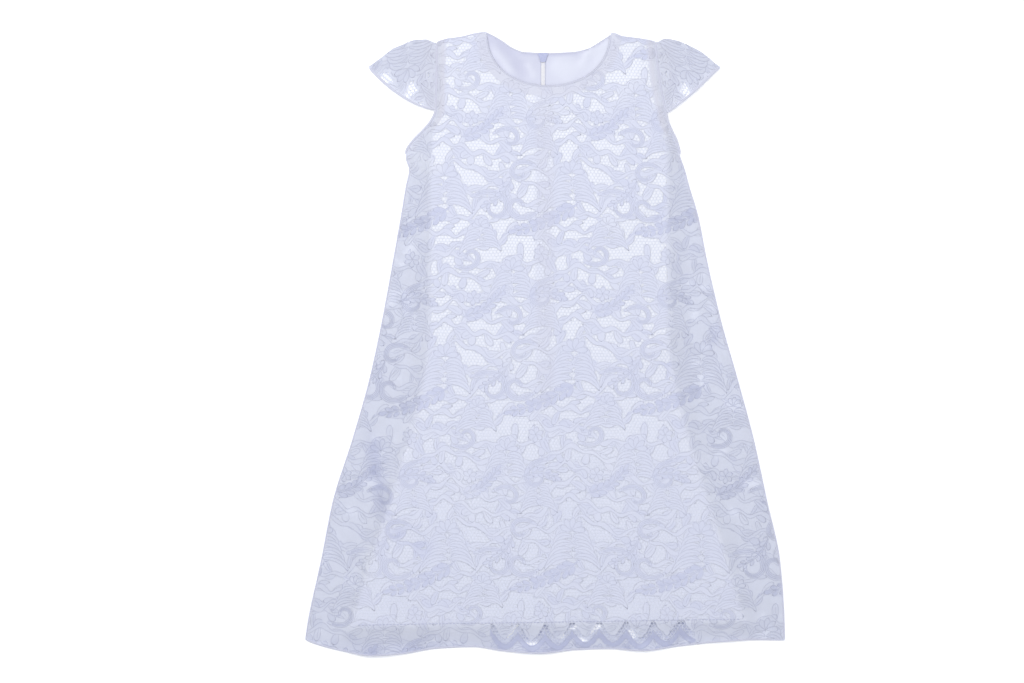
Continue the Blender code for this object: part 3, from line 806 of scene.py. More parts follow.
class HemScallops:
    """Pointed scallops along the hem: a dense band with net above it."""

    def line(self, x):
        """Height of the middle of the band, and how steep it is."""
        share = 2 * np.abs(((x - SCALLOP_LEFT) / SCALLOP_PITCH) % 1 - 0.5)
        y = lace_hem(x) + SCALLOP_FOOT + SCALLOP_RISE * share**SCALLOP_POWER
        steep = SCALLOP_RISE * SCALLOP_POWER * share ** (SCALLOP_POWER - 1) * 2 / SCALLOP_PITCH
        return y, np.hypot(1, steep)

    def above(self, x, y):
        """How far a point lies above the band's middle, or a long way where there is no border."""
        line, slant = self.line(x)
        return np.where((x > SCALLOP_LEFT) & (x < SCALLOP_RIGHT), (y - line) / slant, NO_SCALLOPS)

    def field(self, x, y, field):
        above = self.above(x, y)
        window = np.minimum(above - SCALLOP_HALF_BAND, SCALLOP_WINDOW - above)
        field = np.where(window > 0, window, field)
        return np.minimum(field, np.abs(above) - SCALLOP_HALF_BAND)

    def hides(self, x, y):
        above = self.above(x, y)
        return (above > -SCALLOP_HALF_BAND) & (above < SCALLOP_WINDOW)

    def tone(self, x, y, tone):
        return np.where(np.abs(self.above(x, y)) < SCALLOP_HALF_BAND, SCALLOP_TONE, tone)

    def runs(self):
        x = np.arange(SCALLOP_LEFT, SCALLOP_RIGHT, STROKE_STEP)
        line, slant = self.line(x)
        return [np.column_stack([x, line + side * SCALLOP_HALF_BAND * slant]) for side in (-1, 1)]


def shoulder_line(x):
    left, right = through(LEFT_SHOULDER, "x", "y", x), through(RIGHT_SHOULDER, "x", "y", x)
    return np.where(x < 0, left, right)


def back_top(x):
    neck = (x > BACK_NECK[0].x) & (x < BACK_NECK[-1].x)
    return np.where(neck, through(BACK_NECK, "x", "y", x), shoulder_line(x))


def inside_neck(x, y):
    """How far a point lies inside the front neckline, and below nought outside it."""
    across = np.abs(x - NECK_MIDDLE_X) / NECK_HALF_WIDTH
    down = np.clip((NECK_TOP_Y - y) / NECK_DEPTH, 0, None)
    inside = 1 - across**NECK_POWER - down**NECK_POWER
    slope_x = across ** (NECK_POWER - 1) / NECK_HALF_WIDTH
    slope_y = down ** (NECK_POWER - 1) / NECK_DEPTH
    return inside / np.maximum(NECK_POWER * np.hypot(slope_x, slope_y), 0.01)


LACE = (lace_left, lace_right, lace_hem)
LINING = (lining_left, lining_right, lining_hem)


def past_sides(cut, x, y):
    left, right, _ = cut
    return np.maximum(left(y) - x, x - right(y))


def past_edges(cut, top, x, y):
    """How far a point is past the sides, the top or the hem of the lace or of the lining."""
    _, _, hem = cut
    return np.maximum(np.maximum(past_sides(cut, x, y), y - top(x)), hem(x) - y)


def front_outside(cut):
    return lambda x, y: np.maximum(past_edges(cut, shoulder_line, x, y), inside_neck(x, y))


def back_outside(cut, sign, half_width, from_y, slope):
    """The same for one half of the back, which parts from the other along the zip."""

    def outside(x, y):
        parting = np.clip((y - from_y) * slope, 0, half_width - SPACE / 2)
        past_zip = sign * (ZIP_X - x) + SPACE / 2 + parting
        return np.maximum(past_edges(cut, back_top, x, y), past_zip)

    return outside


def stacked(x, y, z):
    return np.column_stack([x, y, np.broadcast_to(z, np.shape(x))])


def on_front_lace(x, y, lift):
    under = LACE_ON_LACE_Z + (FRONT_LACE_Z - LACE_ON_LACE_Z) * cover(x, y) + fold_rise(x, y)
    return stacked(x, y, under + creases(CREASES, x, y) + lift)


def on_front_lining(x, y, lift):
    top = FRONT_LINING_Z + CLOTH + fold_rise(x, y)
    return stacked(x, y, top + creases(CREASES, x, y) + lift)


def on_back_lace(x, y, lift):
    """The back lace shows its face below."""
    return stacked(x, y, BACK_LACE_Z + CLOTH - lift)


def on_back_lining(x, y, lift):
    near_neck = smooth_step((y - BACK_CREASES_FOOT_Y) / BACK_CREASES_FADE)
    from_roll = (back_top(x) - y - NECK_ROLL_DOWN) / NECK_ROLL_HALF_WIDTH
    roll = NECK_ROLL_RISE * np.exp(-(from_roll**2))
    crease = creases(BACK_CREASES, x, y) * near_neck
    return stacked(x, y, BACK_LINING_Z + CLOTH + crease + roll + lift)


def in_back_lining(x, y, lift):
    """Over the underside of the back lining, which the zip's coil shares."""
    return stacked(x, y, BACK_LINING_Z + lift)


def front_seams_and_zip_shade(x, y):
    """How far a point lies within the seam allowances that show through the lace, and within a band of
    painted shade over the zip down the middle.
    """
    from_side = -past_sides(LACE, x, y)
    armhole = smooth_step((ARMHOLE_ALLOWANCE - from_side) / ALLOWANCE_BLUR)
    armhole = armhole * smooth_step((y - 170) / 20)
    patches = 0.5 + 0.5 * np.sin(y / 17 + np.sign(x))
    side = SIDE_STRENGTH * smooth_step((SIDE_ALLOWANCE - from_side) / ALLOWANCE_BLUR) * patches
    neck = NECK_STRENGTH * smooth_step((NECK_ALLOWANCE + inside_neck(x, y)) / ALLOWANCE_BLUR)
    # Painted shade over the zip beneath the middle of the front
    middle = smooth_step((12 - np.abs(x)) / 6) * smooth_step((y + 100) / 90)
    return np.maximum(np.maximum(armhole, side), np.maximum(neck, ZIP_SHADE_STRENGTH * middle))


def front_closed(x, y):
    """Below nought where the net is closed: in allowances and where the lace leaves the lining."""
    rim = np.abs(front_outside(LINING)(x, y) - RIM_MIDDLE) - RIM_HALF_WIDTH
    return np.minimum(CLOSED_STEEPNESS * (CLOSED_FROM - front_seams_and_zip_shade(x, y)), rim)


def front_unlined(x, y):
    return smooth_step(0.5 + front_outside(LINING)(x, y) / LINING_EDGE_BLUR)


def everywhere(x, y):
    return np.ones(np.shape(x))


class SleeveForm:
    """How a flat cap sleeve folds along its top: distance out from the armhole, and round the fold."""

    def __init__(self, side):
        left = side == "left"
        self.sign = -1 if left else 1
        self.table = LEFT_SLEEVE if left else RIGHT_SLEEVE
        self.edge = lace_left if left else lace_right
        self.tip_x = LEFT_TIP_X if left else RIGHT_TIP_X
        self.length = abs(self.tip_x - float(self.edge(ARMHOLE_MIDDLE_Y)))

    def section(self, x):
        """The share of the length, the middle of the fold's round, the hem and the round's radius."""
        out = np.clip(x / self.length, 0, 1)
        columns = (through(self.table, "out", name, out) for name in ("fold_y", "hem_y", "thick"))
        fold_y, hem_y, thick = columns
        radius = thick / 2
        return out, fold_y - radius, hem_y, radius

    def reach(self, x):
        """How far round the fold the sleeve's hem lies."""
        _, bend_y, hem_y, radius = self.section(x)
        return bend_y - hem_y + np.pi * radius / 2

    def outside(self, x, y):
        return np.maximum(np.maximum(-x, x - self.length), np.abs(y) - self.reach(x))

    def seam(self, x, y):
        return 0.4 + 0.6 * smooth_step((26 - x) / 20)

    def place(self, x, y, lift):
        out, bend_y, hem_y, radius = self.section(x)
        wall = radius - CLOTH + lift
        arc = np.pi * radius / 2
        angle = np.clip(y / radius, -np.pi / 2, np.pi / 2)
        past = np.clip(np.abs(y) - arc, 0, None)
        place_y = bend_y + wall * np.cos(angle) - past
        gather = np.sin(np.pi * GATHERS * past / np.maximum(bend_y - hem_y, 1)) ** 2 * GATHER_RISE
        near_seam = smooth_step(1 - out / GATHER_REACH) * smooth_step(out / GATHER_START)
        place_z = radius + wall * np.sin(angle) + gather * near_seam * (y > 0)
        seam_x = self.edge(place_y) + self.sign * SEAM
        return stacked(seam_x + (self.tip_x - seam_x) * out, place_y, place_z)


def put(name, points, faces, materials, numbers=None, indices=None, flip=False):
    """A piece of the dress from points in millimetres and blocks of faces."""
    mesh = bpy.data.meshes.new(name)
    blocks = [block[:, ::-1] if flip else block for block in faces]
    corners = np.concatenate([block.ravel() for block in blocks])
    counts = np.concatenate([np.full(len(block), block.shape[1]) for block in blocks])
    mesh.vertices.add(len(points))
    mesh.vertices.foreach_set("co", (points * MM).astype(np.float32).ravel())
    mesh.loops.add(len(corners))
    mesh.loops.foreach_set("vertex_index", corners.astype(np.int32))
    mesh.polygons.add(len(counts))
    mesh.polygons.foreach_set("loop_start", (np.cumsum(counts) - counts).astype(np.int32))
    if indices is not None:
        mesh.polygons.foreach_set("material_index", np.array(indices, np.int32))
    mesh.update(calc_edges=True)
    for key, values in (numbers or {}).items():
        attribute = mesh.attributes.new(key, "FLOAT", "POINT")
        attribute.data.foreach_set("value", values.astype(np.float32))
    for material in materials:
        mesh.materials.append(material)
    mesh.shade_smooth()
    piece = bpy.data.objects.new(name, mesh)
    bpy.context.scene.collection.objects.link(piece)
    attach(piece, "dress")
    return piece


def together(parts):
    """Several sets of points and blocks of faces as one."""
    points, faces, start = [], [], 0
    for some, blocks in parts:
        points.append(some)
        faces += [block + start for block in blocks]
        start += len(some)
    return np.vstack(points), faces


def lace_piece(node, panel, sizes, finishes, step, flip=False):
    """A panel's clothwork and net as one sheet, and its cords as another piece on it."""
    cloth, cloth_faces = cut_patch(panel.low, panel.high, step, panel.cloth_field)
    net, net_faces = net_patch(panel, sizes.net_pitch / MM, sizes.net_thread / MM)
    points, faces = together(
        [
            (panel.place(cloth[:, 0], cloth[:, 1], CLOTH_LIFT), cloth_faces),
            (panel.place(net[:, 0], net[:, 1], NET_LIFT), net_faces),
        ]
    )
    numbers = panel.marks(*np.vstack([cloth, net]).T)
    indices = [0] * sum(map(len, cloth_faces)) + [1] * sum(map(len, net_faces))
    materials = [finishes["clothwork"], finishes["net"]]
    sheet = put(f"{node}_cloth", points, faces, materials, numbers, indices, flip)
    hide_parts(node)
    runs = cord_runs(panel)
    points, faces = ridge_strips(runs, Roll(sizes.cord_width / MM, CORD_FOOT, CORD_LIFT), panel.place)
    numbers = panel.marks(*np.vstack([run.repeat(3, axis=0) for run in runs]).T)
    cords = put(f"{node}_cords", points, faces, [finishes["cord"]], numbers, flip=flip)
    return sheet, cords


def satin_piece(node, low, high, outside, place, step, satin, lift, numbers):
    """A lining panel, with a thin wall below its upper side."""
    plan, faces = cut_patch(low, high, step, outside)
    points = place(plan[:, 0], plan[:, 1], lift)
    piece = put(f"{node}_satin", points, faces, [satin], numbers(*plan.T))
    wall = piece.modifiers.new("Wall", "SOLIDIFY")
    wall.thickness = SATIN_WALL * MM
    wall.offset = -1.0
    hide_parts(node)
    return piece


class Value:
    """A number that changes over a surface. Its sums and products add Math nodes."""

    def __init__(self, paint, socket):
        self.paint, self.socket = paint, socket

    def _with(self, operation, first, second):
        return self.paint.value("ShaderNodeMath", {"operation": operation}, {0: first, 1: second})

    def __add__(self, other):
        return self._with("ADD", self, other)

    def __radd__(self, other):
        return self._with("ADD", other, self)

    def __sub__(self, other):
        return self._with("SUBTRACT", self, other)

    def __rsub__(self, other):
        return self._with("SUBTRACT", other, self)

    def __mul__(self, other):
        return self._with("MULTIPLY", self, other)

    def __rmul__(self, other):
        return self._with("MULTIPLY", other, self)

    def limited(self):
        settings = {"operation": "ADD", "use_clamp": True}
        return self.paint.value("ShaderNodeMath", settings, {0: self, 1: 0.0})


class Paint:
    """A material as it is made up. Every node comes from one method."""

    def __init__(self, name, **settings):
        self.material = bpy.data.materials.new(name)
        self.material.use_nodes = True
        self.tree = self.material.node_tree
        self.shader = self.tree.nodes["Principled BSDF"]
        for key, value in settings.items():
            self.feed(key.replace("_", " ").title(), value)
        self.place = self.node("ShaderNodeTexCoord").outputs["Object"]

    def node(self, kind, settings=None, inputs=None):
        node = self.tree.nodes.new(kind)
        for key, value in (settings or {}).items():
            setattr(node, key, value)
        for key, value in (inputs or {}).items():
            self.plug(node.inputs[key], value)
        return node

    def plug(self, socket, value):
        if isinstance(value, Value):
            value = value.socket
        if isinstance(value, bpy.types.NodeSocket):
            self.tree.links.new(value, socket)
        else:
            opaque = socket.type == "RGBA" and len(value) == 3
            socket.default_value = (*value, 1.0) if opaque else value

    def value(self, kind, settings=None, inputs=None, output=0):
        return Value(self, self.node(kind, settings, inputs).outputs[output])

    def feed(self, socket, value):
        self.plug(self.shader.inputs[socket], value)

    def let_light_through(self, share, colour):
        """Thin cloth: some of the light that falls on one side comes out of the other."""
        glow = self.node("ShaderNodeBsdfTranslucent", None, {"Color": colour})
        inputs = {0: share, 1: self.shader.outputs[0], 2: glow.outputs[0]}
        both = self.node("ShaderNodeMixShader", None, inputs)
        self.plug(self.tree.nodes["Material Output"].inputs["Surface"], both.outputs[0])

    def stretched(self, x, y, z):
        inputs = {"Vector": self.place, "Scale": (x, y, z)}
        return self.node("ShaderNodeMapping", {"vector_type": "POINT"}, inputs).outputs[0]

    def cloudy(self, scale, detail=3.0, vector=None):
        inputs = {"Vector": vector or self.place, "Scale": scale, "Detail": detail}
        return self.value("ShaderNodeTexNoise", None, inputs)

    def ribs(self, scale, direction, distortion=0.6):
        settings = {"wave_type": "BANDS", "bands_direction": direction}
        inputs = {"Vector": self.place, "Scale": scale, "Distortion": distortion}
        inputs["Detail Scale"] = 2.0
        return self.value("ShaderNodeTexWave", settings, inputs)

    def attribute(self, name):
        return self.value("ShaderNodeAttribute", {"attribute_name": name}, output=2)

    def mixed(self, factor, first, second):
        settings = {"data_type": "RGBA", "blend_type": "MIX", "clamp_factor": True}
        return self.value("ShaderNodeMix", settings, {0: factor, 6: first, 7: second}, output=2)

    def relief(self, height, distance, strength):
        inputs = {"Height": height, "Distance": distance, "Strength": strength}
        self.feed("Normal", self.value("ShaderNodeBump", None, inputs))


WHITE = (1.0, 1.0, 1.0)


def lace_finish(name, colour, dense, warm, see_through_light, painted_light_share, roughness, rib_scale):
    """Matt polyester thread: denser and a little darker where the motifs are worked close. The tone and
    seam marks also carry painted shade, and lace with no lining under it is painted lighter.
    """
    paint = Paint(name, roughness=roughness, sheen_weight=0.25, sheen_roughness=0.4)
    tone, seam = paint.attribute("tone"), paint.attribute("seam")
    weave = paint.ribs(rib_scale, "X") * paint.ribs(rib_scale, "Y")
    cloud = paint.cloudy(60.0)
    # The tone mark mixes in the dense colour: for close-worked motifs, and as painted shade in crease
    # troughs and towards the hem
    base = paint.mixed((tone * 0.75 + cloud * 0.3 - 0.15).limited(), colour, dense)
    # The seam mark: seam allowances, and on the front a band of painted shade over the zip
    base = paint.mixed((seam * 0.7 * (0.55 + cloud)).limited(), base, warm)
    base = paint.mixed(weave * 0.12, base, WHITE)
    unlined = paint.attribute("unlined")
    # Painted light: lace with no lining under it is painted lighter, for the light that comes through
    # it
    base = paint.mixed((unlined * (painted_light_share - 0.65 * tone)).limited(), base, see_through_light)
    paint.feed("Base Color", base)
    paint.relief(weave + cloud * 0.4, 0.00025, 0.6)
    paint.let_light_through(0.28 * unlined, see_through_light)
    return paint.material


def satin_finish(name, colour, shade):
    """Polyester satin: smooth, bright and softly glossy, with a faint grain along the cloth. Its shaded
    mark paints it darker: painted shade.
    """
    paint = Paint(name, roughness=0.42, sheen_weight=0.15)
    grain = paint.cloudy(900.0, 2.0, paint.stretched(1.0, 0.12, 1.0))
    cloud = paint.cloudy(22.0)
    shaded = paint.attribute("shaded")
    # Painted shade: the shaded mark mixes in the shade colour, broken up by the cloud
    base = paint.mixed((shaded * (0.5 + 0.6 * cloud)).limited(), colour, shade)
    base = paint.mixed((cloud * 0.35).limited(), base, shade)
    paint.feed("Base Color", base)
    paint.feed("Roughness", 0.38 + 0.12 * grain)
    paint.relief(grain * 0.5 + cloud, 0.0002, 0.35)
    return paint.material


def woven_finish(name, colour, dark, scale):
    """Tape or thread: a close diagonal weave."""
    paint = Paint(name, roughness=0.75)
    weave = paint.ribs(scale, "DIAGONAL", 0.2)
    cloud = paint.cloudy(300.0)
    paint.feed("Base Color", paint.mixed((weave * 0.5 + cloud * 0.4).limited(), colour, dark))
    paint.relief(weave, 0.0003, 0.5)
    return paint.material


def smooth_finish(name, colour, dark, roughness, metallic=0.0):
    """Moulded coil or painted metal: nearly plain, with faint scuffs."""
    paint = Paint(name, metallic=metallic)
    scuffs = paint.cloudy(400.0, 6.0)
    paint.feed("Base Color", paint.mixed(scuffs, colour, dark))
    paint.feed("Roughness", roughness + 0.2 * scuffs)
    paint.relief(scuffs, 0.00004, 0.3)
    return paint.material


def length_of(metres, name, description):
    return bpy.props.FloatProperty(
        name=name, description=description, default=metres, min=0.0, unit="LENGTH"
    )


def colour_of(red, green, blue, name):
    return bpy.props.FloatVectorProperty(
        name=name, description=f"Colour of the {name.lower()}", default=(red, green, blue),
        size=3, min=0.0, max=1.0, subtype="COLOR",
    )


class DressSizes(bpy.types.PropertyGroup):
    net_pitch: length_of(0.0034, "Net pitch", "Distance between the holes of the net")
    net_thread: length_of(0.0006, "Net thread", "Width of the threads between the holes")
    cord_width: length_of(0.0007, "Cord width", "Width of the cords that outline the motifs")
    front_step: length_of(0.0019, "Front detail", "Size of the squares that make the front lace")
    back_step: length_of(0.0025, "Back detail", "Size of the squares that make the back lace")
    lining_step: length_of(0.004, "Lining detail", "Size of the squares that make the linings")
    stitch: length_of(0.0024, "Stitch", "Length of one stitch")
    stitch_gap: length_of(0.0011, "Stitch gap", "Space between two stitches")
    tooth_pitch: length_of(0.0013, "Tooth pitch", "Distance between two turns of the zip's coil")
    camera_height: length_of(3.0, "Camera height", "Height of the camera over the surface")


class DressColours(bpy.types.PropertyGroup):
    clothwork: colour_of(0.745, 0.77, 0.905, "Clothwork")
    # The dense colour is also painted shade: in crease troughs and towards the hem
    dense: colour_of(0.58, 0.61, 0.81, "Dense clothwork")
    net: colour_of(0.80, 0.83, 0.95, "Net")
    # Darker than the clothwork: thicker thread, and painted shade along the cords
    cord: colour_of(0.66, 0.68, 0.80, "Cords")
    # Also the colour of the painted shade over the zip down the middle of the front
    warm: colour_of(0.66, 0.66, 0.76, "Seam allowances, and painted shade over the zip")
    # Painted light for lace with no lining under it, and also the colour of the light through it
    see_through_light: colour_of(0.875, 0.90, 1.0, "Lace with no lining under it, painted lighter")
    satin: colour_of(0.87, 0.885, 0.95, "Satin")
    satin_shade: colour_of(0.72, 0.745, 0.885, "Satin shade")
    # A darker copy of the satin: painted shade inside the back
    inner_satin: colour_of(0.74, 0.76, 0.87, "Satin inside the back")
    inner_shade: colour_of(0.53, 0.54, 0.70, "Shade inside the back")
    tape: colour_of(0.76, 0.77, 0.86, "Zip tape")
    coil: colour_of(0.80, 0.78, 0.78, "Zip coil")
    # Blue paint made darker still: painted shade where the slider lies inside the neck
    metal: colour_of(0.28, 0.30, 0.48, "Zip metal")
    thread: colour_of(0.58, 0.60, 0.76, "Stitches")
    floor: colour_of(0.93, 0.93, 0.94, "Surface")


FINISHES = {}
REPEAT = LaceRepeat()


def dress_settings(context):
    return context.scene.dress_sizes, context.scene.dress_colours


def dress_finishes(c):
    """The finishes, made once."""
    if not FINISHES:
        for name, colour, dense, painted_light_share, roughness, ribs in (
            ("clothwork", c.clothwork, c.dense, 0.8, 0.72, 430.0),
            ("net", c.net, c.clothwork, 0.8, 0.6, 900.0),
            ("cord", c.cord, c.dense, 0.3, 0.66, 700.0),
        ):
            FINISHES[name] = lace_finish(
                name, colour, dense, c.warm, c.see_through_light, painted_light_share, roughness, ribs
            )
        FINISHES["satin"] = satin_finish("satin", c.satin, c.satin_shade)
        # The satin inside the back is the same satin painted darker: painted shade
        FINISHES["inner satin"] = satin_finish("inner satin", c.inner_satin, c.inner_shade)
        FINISHES["tape"] = woven_finish("tape", c.tape, c.cord, 260.0)
        FINISHES["thread"] = woven_finish("thread", c.thread, c.dense, 600.0)
        FINISHES["coil"] = smooth_finish("coil", c.coil, c.tape, 0.35)
        FINISHES["metal"] = smooth_finish("metal", c.metal, c.dense, 0.4, metallic=0.15)
    return FINISHES


def front_panel():
    return Panel(
        (-242.0, -314.0), (242.0, 314.0), front_outside(LACE), on_front_lace, (32.0, 163.0),
        front_unlined, seam=front_seams_and_zip_shade, border=HemScallops(), closed=front_closed, fill=FRONT_FILL,
    )


def back_panel(side):
    sign, low_x, high_x = (-1, -242.0, 0.0) if side == "left" else (1, -4.0, 242.0)
    outside = back_outside(LACE, sign, POCKET_HALF_WIDTH, POCKET_FOOT_Y, 1.0)
    low, high = (low_x, -314.0), (high_x, 314.0)
    return Panel(low, high, outside, on_back_lace, (39.0, 115.0), everywhere)


def sleeve_panel(side):
    form = SleeveForm(side)
    return Panel(
        (-2.0, -82.0), (70.0, 82.0), form.outside, form.place, (30.0, 20.0), everywhere,
        seam=form.seam, band=SLEEVE_BAND, mirrored=True,
    )


class OBJECT_OT_dress_linings(bpy.types.Operator):
    """Make the satin linings of the front and of both back halves"""

    bl_idname = "dress.linings"
    bl_label = "Linings"

    def execute(self, context):
        sizes, colours = dress_settings(context)
        finishes = dress_finishes(colours)
        step = sizes.lining_step / MM

        # Painted shade on the front satin: over the zip beneath it, and darker towards the hem
        def front_satin_shade(x, y):
            near = smooth_step((11 - np.abs(x - ZIP_X)) / 5) * smooth_step((y - ZIP_FOOT_Y) / 14)
            return {"shaded": np.maximum(0.8 * near, smooth_step((90 - y) / 300))}

        # Painted shade on the satin inside the back: under the turned neck edge, darker towards the
        # left, and in the troughs of its creases, with painted light on their ridges
        def back_satin_shade(x, y):
            turned = 0.9 * smooth_step(1 - (back_top(x) - y) / 5)
            shade = 0.5 - 0.009 * x + turned - 0.9 * creases(BACK_CREASES, x, y)
            return {"shaded": np.clip(shade, 0, 1)}

        front = satin_piece(
            "front_lining", (-200.0, -290.0), (206.0, 314.0), front_outside(LINING),
            on_front_lining, step, finishes["satin"], FRONT_SATIN_LIFT, front_satin_shade,
        )
        for side, sign, low_x, high_x in (("left", -1, -200.0, 0.0), ("right", 1, -4.0, 206.0)):
            outside = back_outside(LINING, sign, LINING_PARTING, ZIP_FOOT_Y - 4, 0.5)
            half = satin_piece(
                f"back_lining_{side}", (low_x, -290.0), (high_x, 314.0), outside,
                on_back_lining, 0.75 * step, finishes["inner satin"], BACK_SATIN_LIFT, back_satin_shade,
            )
        return {"FINISHED"}


class OBJECT_OT_dress_back_lace(bpy.types.Operator):
    """Make the lace of both back halves"""

    bl_idname = "dress.back_lace"
    bl_label = "Back lace"

    def execute(self, context):
        sizes, colours = dress_settings(context)
        finishes, step = dress_finishes(colours), sizes.back_step / MM
        for side in ("left", "right"):
            sheet, cords = lace_piece(
                f"back_lace_{side}", back_panel(side), sizes, finishes, step, flip=True
            )
        return {"FINISHED"}


class OBJECT_OT_dress_front_lace(bpy.types.Operator):
    """Make the front lace with its scalloped border"""

    bl_idname = "dress.front_lace"
    bl_label = "Front lace"

    def execute(self, context):
        sizes, colours = dress_settings(context)
        finishes, step = dress_finishes(colours), sizes.front_step / MM
        sheet, cords = lace_piece("front_lace", front_panel(), sizes, finishes, step)
        return {"FINISHED"}


class OBJECT_OT_dress_sleeves(bpy.types.Operator):
    """Make the two cap sleeves, folded along the top"""

    bl_idname = "dress.sleeves"
    bl_label = "Cap sleeves"

    def execute(self, context):
        sizes, colours = dress_settings(context)
        finishes, step = dress_finishes(colours), sizes.front_step / MM
        for side in ("left", "right"):
            panel, flip = sleeve_panel(side), side == "right"
            sheet, cords = lace_piece(f"sleeve_{side}", panel, sizes, finishes, step, flip)
        return {"FINISHED"}


class OBJECT_OT_dress_zip(bpy.types.Operator):
    """Make the zip's coil, slider and pull, and finish its tapes"""

    bl_idname = "dress.zip"
    bl_label = "Zip"

    def execute(self, context):
        sizes, colours = dress_settings(context)
        finishes = dress_finishes(colours)
        for side in ("left", "right"):
            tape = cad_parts[f"zip_tape_{side}"]
            tape.data.materials.clear()
            tape.data.materials.append(finishes["tape"])
        half = CHAIN_HALF_WIDTH + COIL_PROUD
        turns = [
            np.array([[ZIP_X - half, y], [ZIP_X, y + 0.15], [ZIP_X + half, y]])
            for y in np.arange(ZIP_FOOT_Y + 1, CHAIN_TOP_Y - 0.5, sizes.tooth_pitch / MM)
        ]
        core_y = [*np.linspace(ZIP_FOOT_Y, CHAIN_TOP_Y, 40), CHAIN_TOP_Y + 0.8]
        core = [np.array([[ZIP_X, y] for y in core_y])]
        points, faces = together(
            [
                ridge_strips(turns, COIL_TURN, in_back_lining, COIL_SECTION),
                ridge_strips(core, COIL_CORE, in_back_lining, COIL_SECTION),
            ]
        )
        coil = put("zip_coil", points, faces, [finishes["coil"]])
        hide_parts("zip_chain")
        for node, body in (("zip_slider", "dress"), ("zip_pull", "pull")):
            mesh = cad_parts[node].data.copy()
            mesh.materials.clear()
            mesh.materials.append(finishes["metal"])
            piece = bpy.data.objects.new(f"{node}_rounded", mesh)
            context.scene.collection.objects.link(piece)
            soft = piece.modifiers.new("Rounded edges", "BEVEL")
            soft.width = METAL_ROUNDING * MM
            soft.segments = 2
            soft.limit_method = "ANGLE"
            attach(piece, body)
            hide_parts(node)
        return {"FINISHED"}


def stitched(line, pace, gap):
    """Short runs along a line, one for each stitch."""
    gone = np.concatenate([[0], np.cumsum(np.hypot(*np.diff(line, axis=0).T))])
    starts = np.arange(0.5, gone[-1] - pace, pace + gap)
    ends = starts[:, None] + np.linspace(0, pace, 3)[None, :]
    return [
        np.column_stack([np.interp(end, gone, line[:, 0]), np.interp(end, gone, line[:, 1])])
        for end in ends
    ]


class OBJECT_OT_dress_seams(bpy.types.Operator):
    """Make the turned edges, the seams and the row of stitches"""

    bl_idname = "dress.seams"
    bl_label = "Seams"

    def execute(self, context):
        sizes, colours = dress_settings(context)
        finishes = dress_finishes(colours)
        rolls = []

        def lay(x, y, roll, place=on_front_lace):
            rolls.append(ridge_strips([np.column_stack([x, y])], roll, place, ROLL_SECTION))

        turn = np.linspace(0.02, np.pi - 0.02, 90)
        across = np.sign(np.cos(turn)) * np.abs(np.cos(turn)) ** (2 / NECK_POWER)
        down = np.sin(turn) ** (2 / NECK_POWER)
        neck_x = NECK_MIDDLE_X - NECK_HALF_WIDTH * across
        lay(neck_x, NECK_TOP_Y - NECK_DEPTH * down, NECK_BINDING)
        back_x = np.linspace(BACK_NECK[0].x, BACK_NECK[-1].x, 60)
        lay(back_x, back_top(back_x) - 0.6, BACK_NECK_EDGE, in_back_lining)
        arm_y = np.arange(UNDERARM_Y, ARMHOLE_TOP_Y, 2.5)
        side_y = np.arange(SIDE_FOOT_Y, UNDERARM_Y, 4.0)
        for sign, edge, shoulder in ((-1, lace_left, LEFT_SHOULDER), (1, lace_right, RIGHT_SHOULDER)):
            lay(edge(arm_y) + sign * 0.1, arm_y, ARMHOLE_EDGE)
            lay(edge(side_y) - sign * 0.9, side_y, SIDE_SEAM)
            top_x = np.linspace(shoulder[0].x, shoulder[-1].x, 16)
            lay(top_x, shoulder_line(top_x) - 1.0, SHOULDER_SEAM)
        for side in ("left", "right"):
            form = SleeveForm(side)
            along = np.linspace(1.0, form.length - 1.0, 40)
            lay(along, form.reach(along) - 0.9, SLEEVE_HEM, form.place)
        hem_x = np.arange(-238.0, 239.0, 3.0)
        lay(hem_x, lace_hem(hem_x) + 0.9, HEM_EDGE)
        points, faces = together(rolls)
        strength = np.full(len(points), ROLL_TONE)
        numbers = {"tone": strength, "seam": strength}
        put("turned_edges", points, faces, [finishes["clothwork"]], numbers)

        hem_x = hem_x[(hem_x > -190) & (hem_x < 196)]
        row = np.column_stack([hem_x, lining_hem(hem_x) + 1.5])
        stitches = stitched(row, sizes.stitch / MM, sizes.stitch_gap / MM)
        points, faces = ridge_strips(stitches, STITCH, on_front_lace)
        put("stitches", points, faces, [finishes["thread"]])
        return {"FINISHED"}


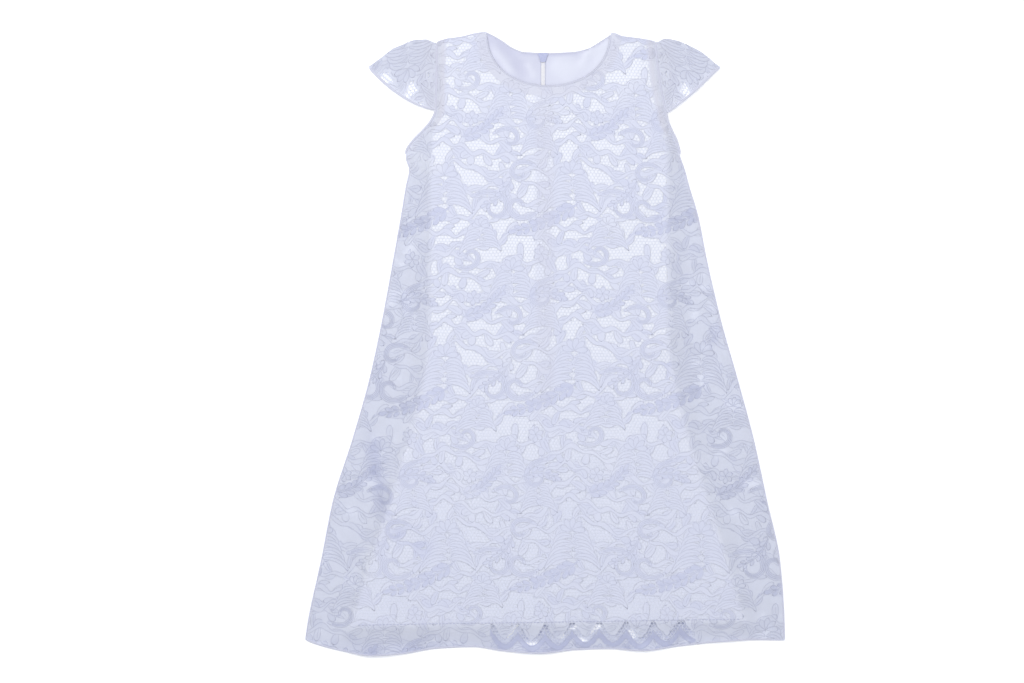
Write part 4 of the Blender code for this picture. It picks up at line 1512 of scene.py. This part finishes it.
class OBJECT_OT_dress_stage(bpy.types.Operator):
    """Make the surface, the lights and the camera"""

    bl_idname = "dress.stage"
    bl_label = "Stage"

    def execute(self, context):
        sizes, colours = dress_settings(context)
        scene = context.scene
        bpy.ops.mesh.primitive_plane_add(size=8.0, location=(0.0, 0.0, -0.0002))
        floor = context.active_object
        floor.name = "surface"
        paint = Paint("surface", roughness=0.9)
        cloud = paint.cloudy(3.0)
        shade = tuple(0.985 * part for part in colours.floor)
        paint.feed("Base Color", paint.mixed(cloud, tuple(colours.floor), shade))
        paint.feed("Emission Color", (0.98, 0.99, 1.0))
        paint.feed("Emission Strength", 0.3)
        floor.data.materials.append(paint.material)

        world = bpy.data.worlds.new("studio")
        scene.world = world
        world.use_nodes = True
        backdrop = world.node_tree.nodes["Background"]
        backdrop.inputs["Color"].default_value = (0.95, 0.97, 1.0, 1.0)
        backdrop.inputs["Strength"].default_value = 0.55
        for name, place, size, power in (
            ("main light", (-0.45, 0.6, 1.75), 1.0, 17.7),
            ("fill light", (1.2, 0.2, 1.8), 1.4, 6.0),
        ):
            lamp = bpy.data.lights.new(name, "AREA")
            lamp.size = size
            lamp.energy = power
            light = bpy.data.objects.new(name, lamp)
            light.location = place
            light.rotation_euler = (-Vector(place)).to_track_quat("-Z", "Y").to_euler()
            scene.collection.objects.link(light)
        scene.view_settings.view_transform = "Standard"
        camera = bpy.data.cameras.new("camera")
        sensor_width, view_width = 36.0, 1.024
        camera.sensor_width = sensor_width
        camera.lens = sensor_width * sizes.camera_height / view_width
        camera.clip_end = 50.0
        viewer = bpy.data.objects.new("camera", camera)
        viewer.location = (-0.033, 0.0025, sizes.camera_height)
        scene.collection.objects.link(viewer)
        scene.camera = viewer
        return {"FINISHED"}


OPERATORS = (
    OBJECT_OT_dress_linings,
    OBJECT_OT_dress_back_lace,
    OBJECT_OT_dress_front_lace,
    OBJECT_OT_dress_sleeves,
    OBJECT_OT_dress_zip,
    OBJECT_OT_dress_seams,
    OBJECT_OT_dress_stage,
)


class VIEW3D_PT_dress(bpy.types.Panel):
    bl_label = "Lace dress"
    bl_space_type = "VIEW_3D"
    bl_region_type = "UI"
    bl_category = "Dress"

    def draw(self, context):
        for operator in OPERATORS:
            self.layout.operator(operator.bl_idname)
        for group in dress_settings(context):
            box = self.layout.box()
            for key in group.bl_rna.properties.keys():
                if key not in ("rna_type", "name"):
                    box.prop(group, key)


CLASSES = (DressSizes, DressColours, *OPERATORS, VIEW3D_PT_dress)


def register():
    for kind in CLASSES:
        bpy.utils.register_class(kind)
    bpy.types.Scene.dress_sizes = bpy.props.PointerProperty(type=DressSizes)
    bpy.types.Scene.dress_colours = bpy.props.PointerProperty(type=DressColours)


def unregister():
    del bpy.types.Scene.dress_colours
    del bpy.types.Scene.dress_sizes
    for kind in reversed(CLASSES):
        bpy.utils.unregister_class(kind)


def main():
    register()
    bpy.ops.dress.linings()
    bpy.ops.dress.back_lace()
    bpy.ops.dress.front_lace()
    bpy.ops.dress.sleeves()
    bpy.ops.dress.zip()
    bpy.ops.dress.seams()
    bpy.ops.dress.stage()


if __name__ == "__main__":
    main()
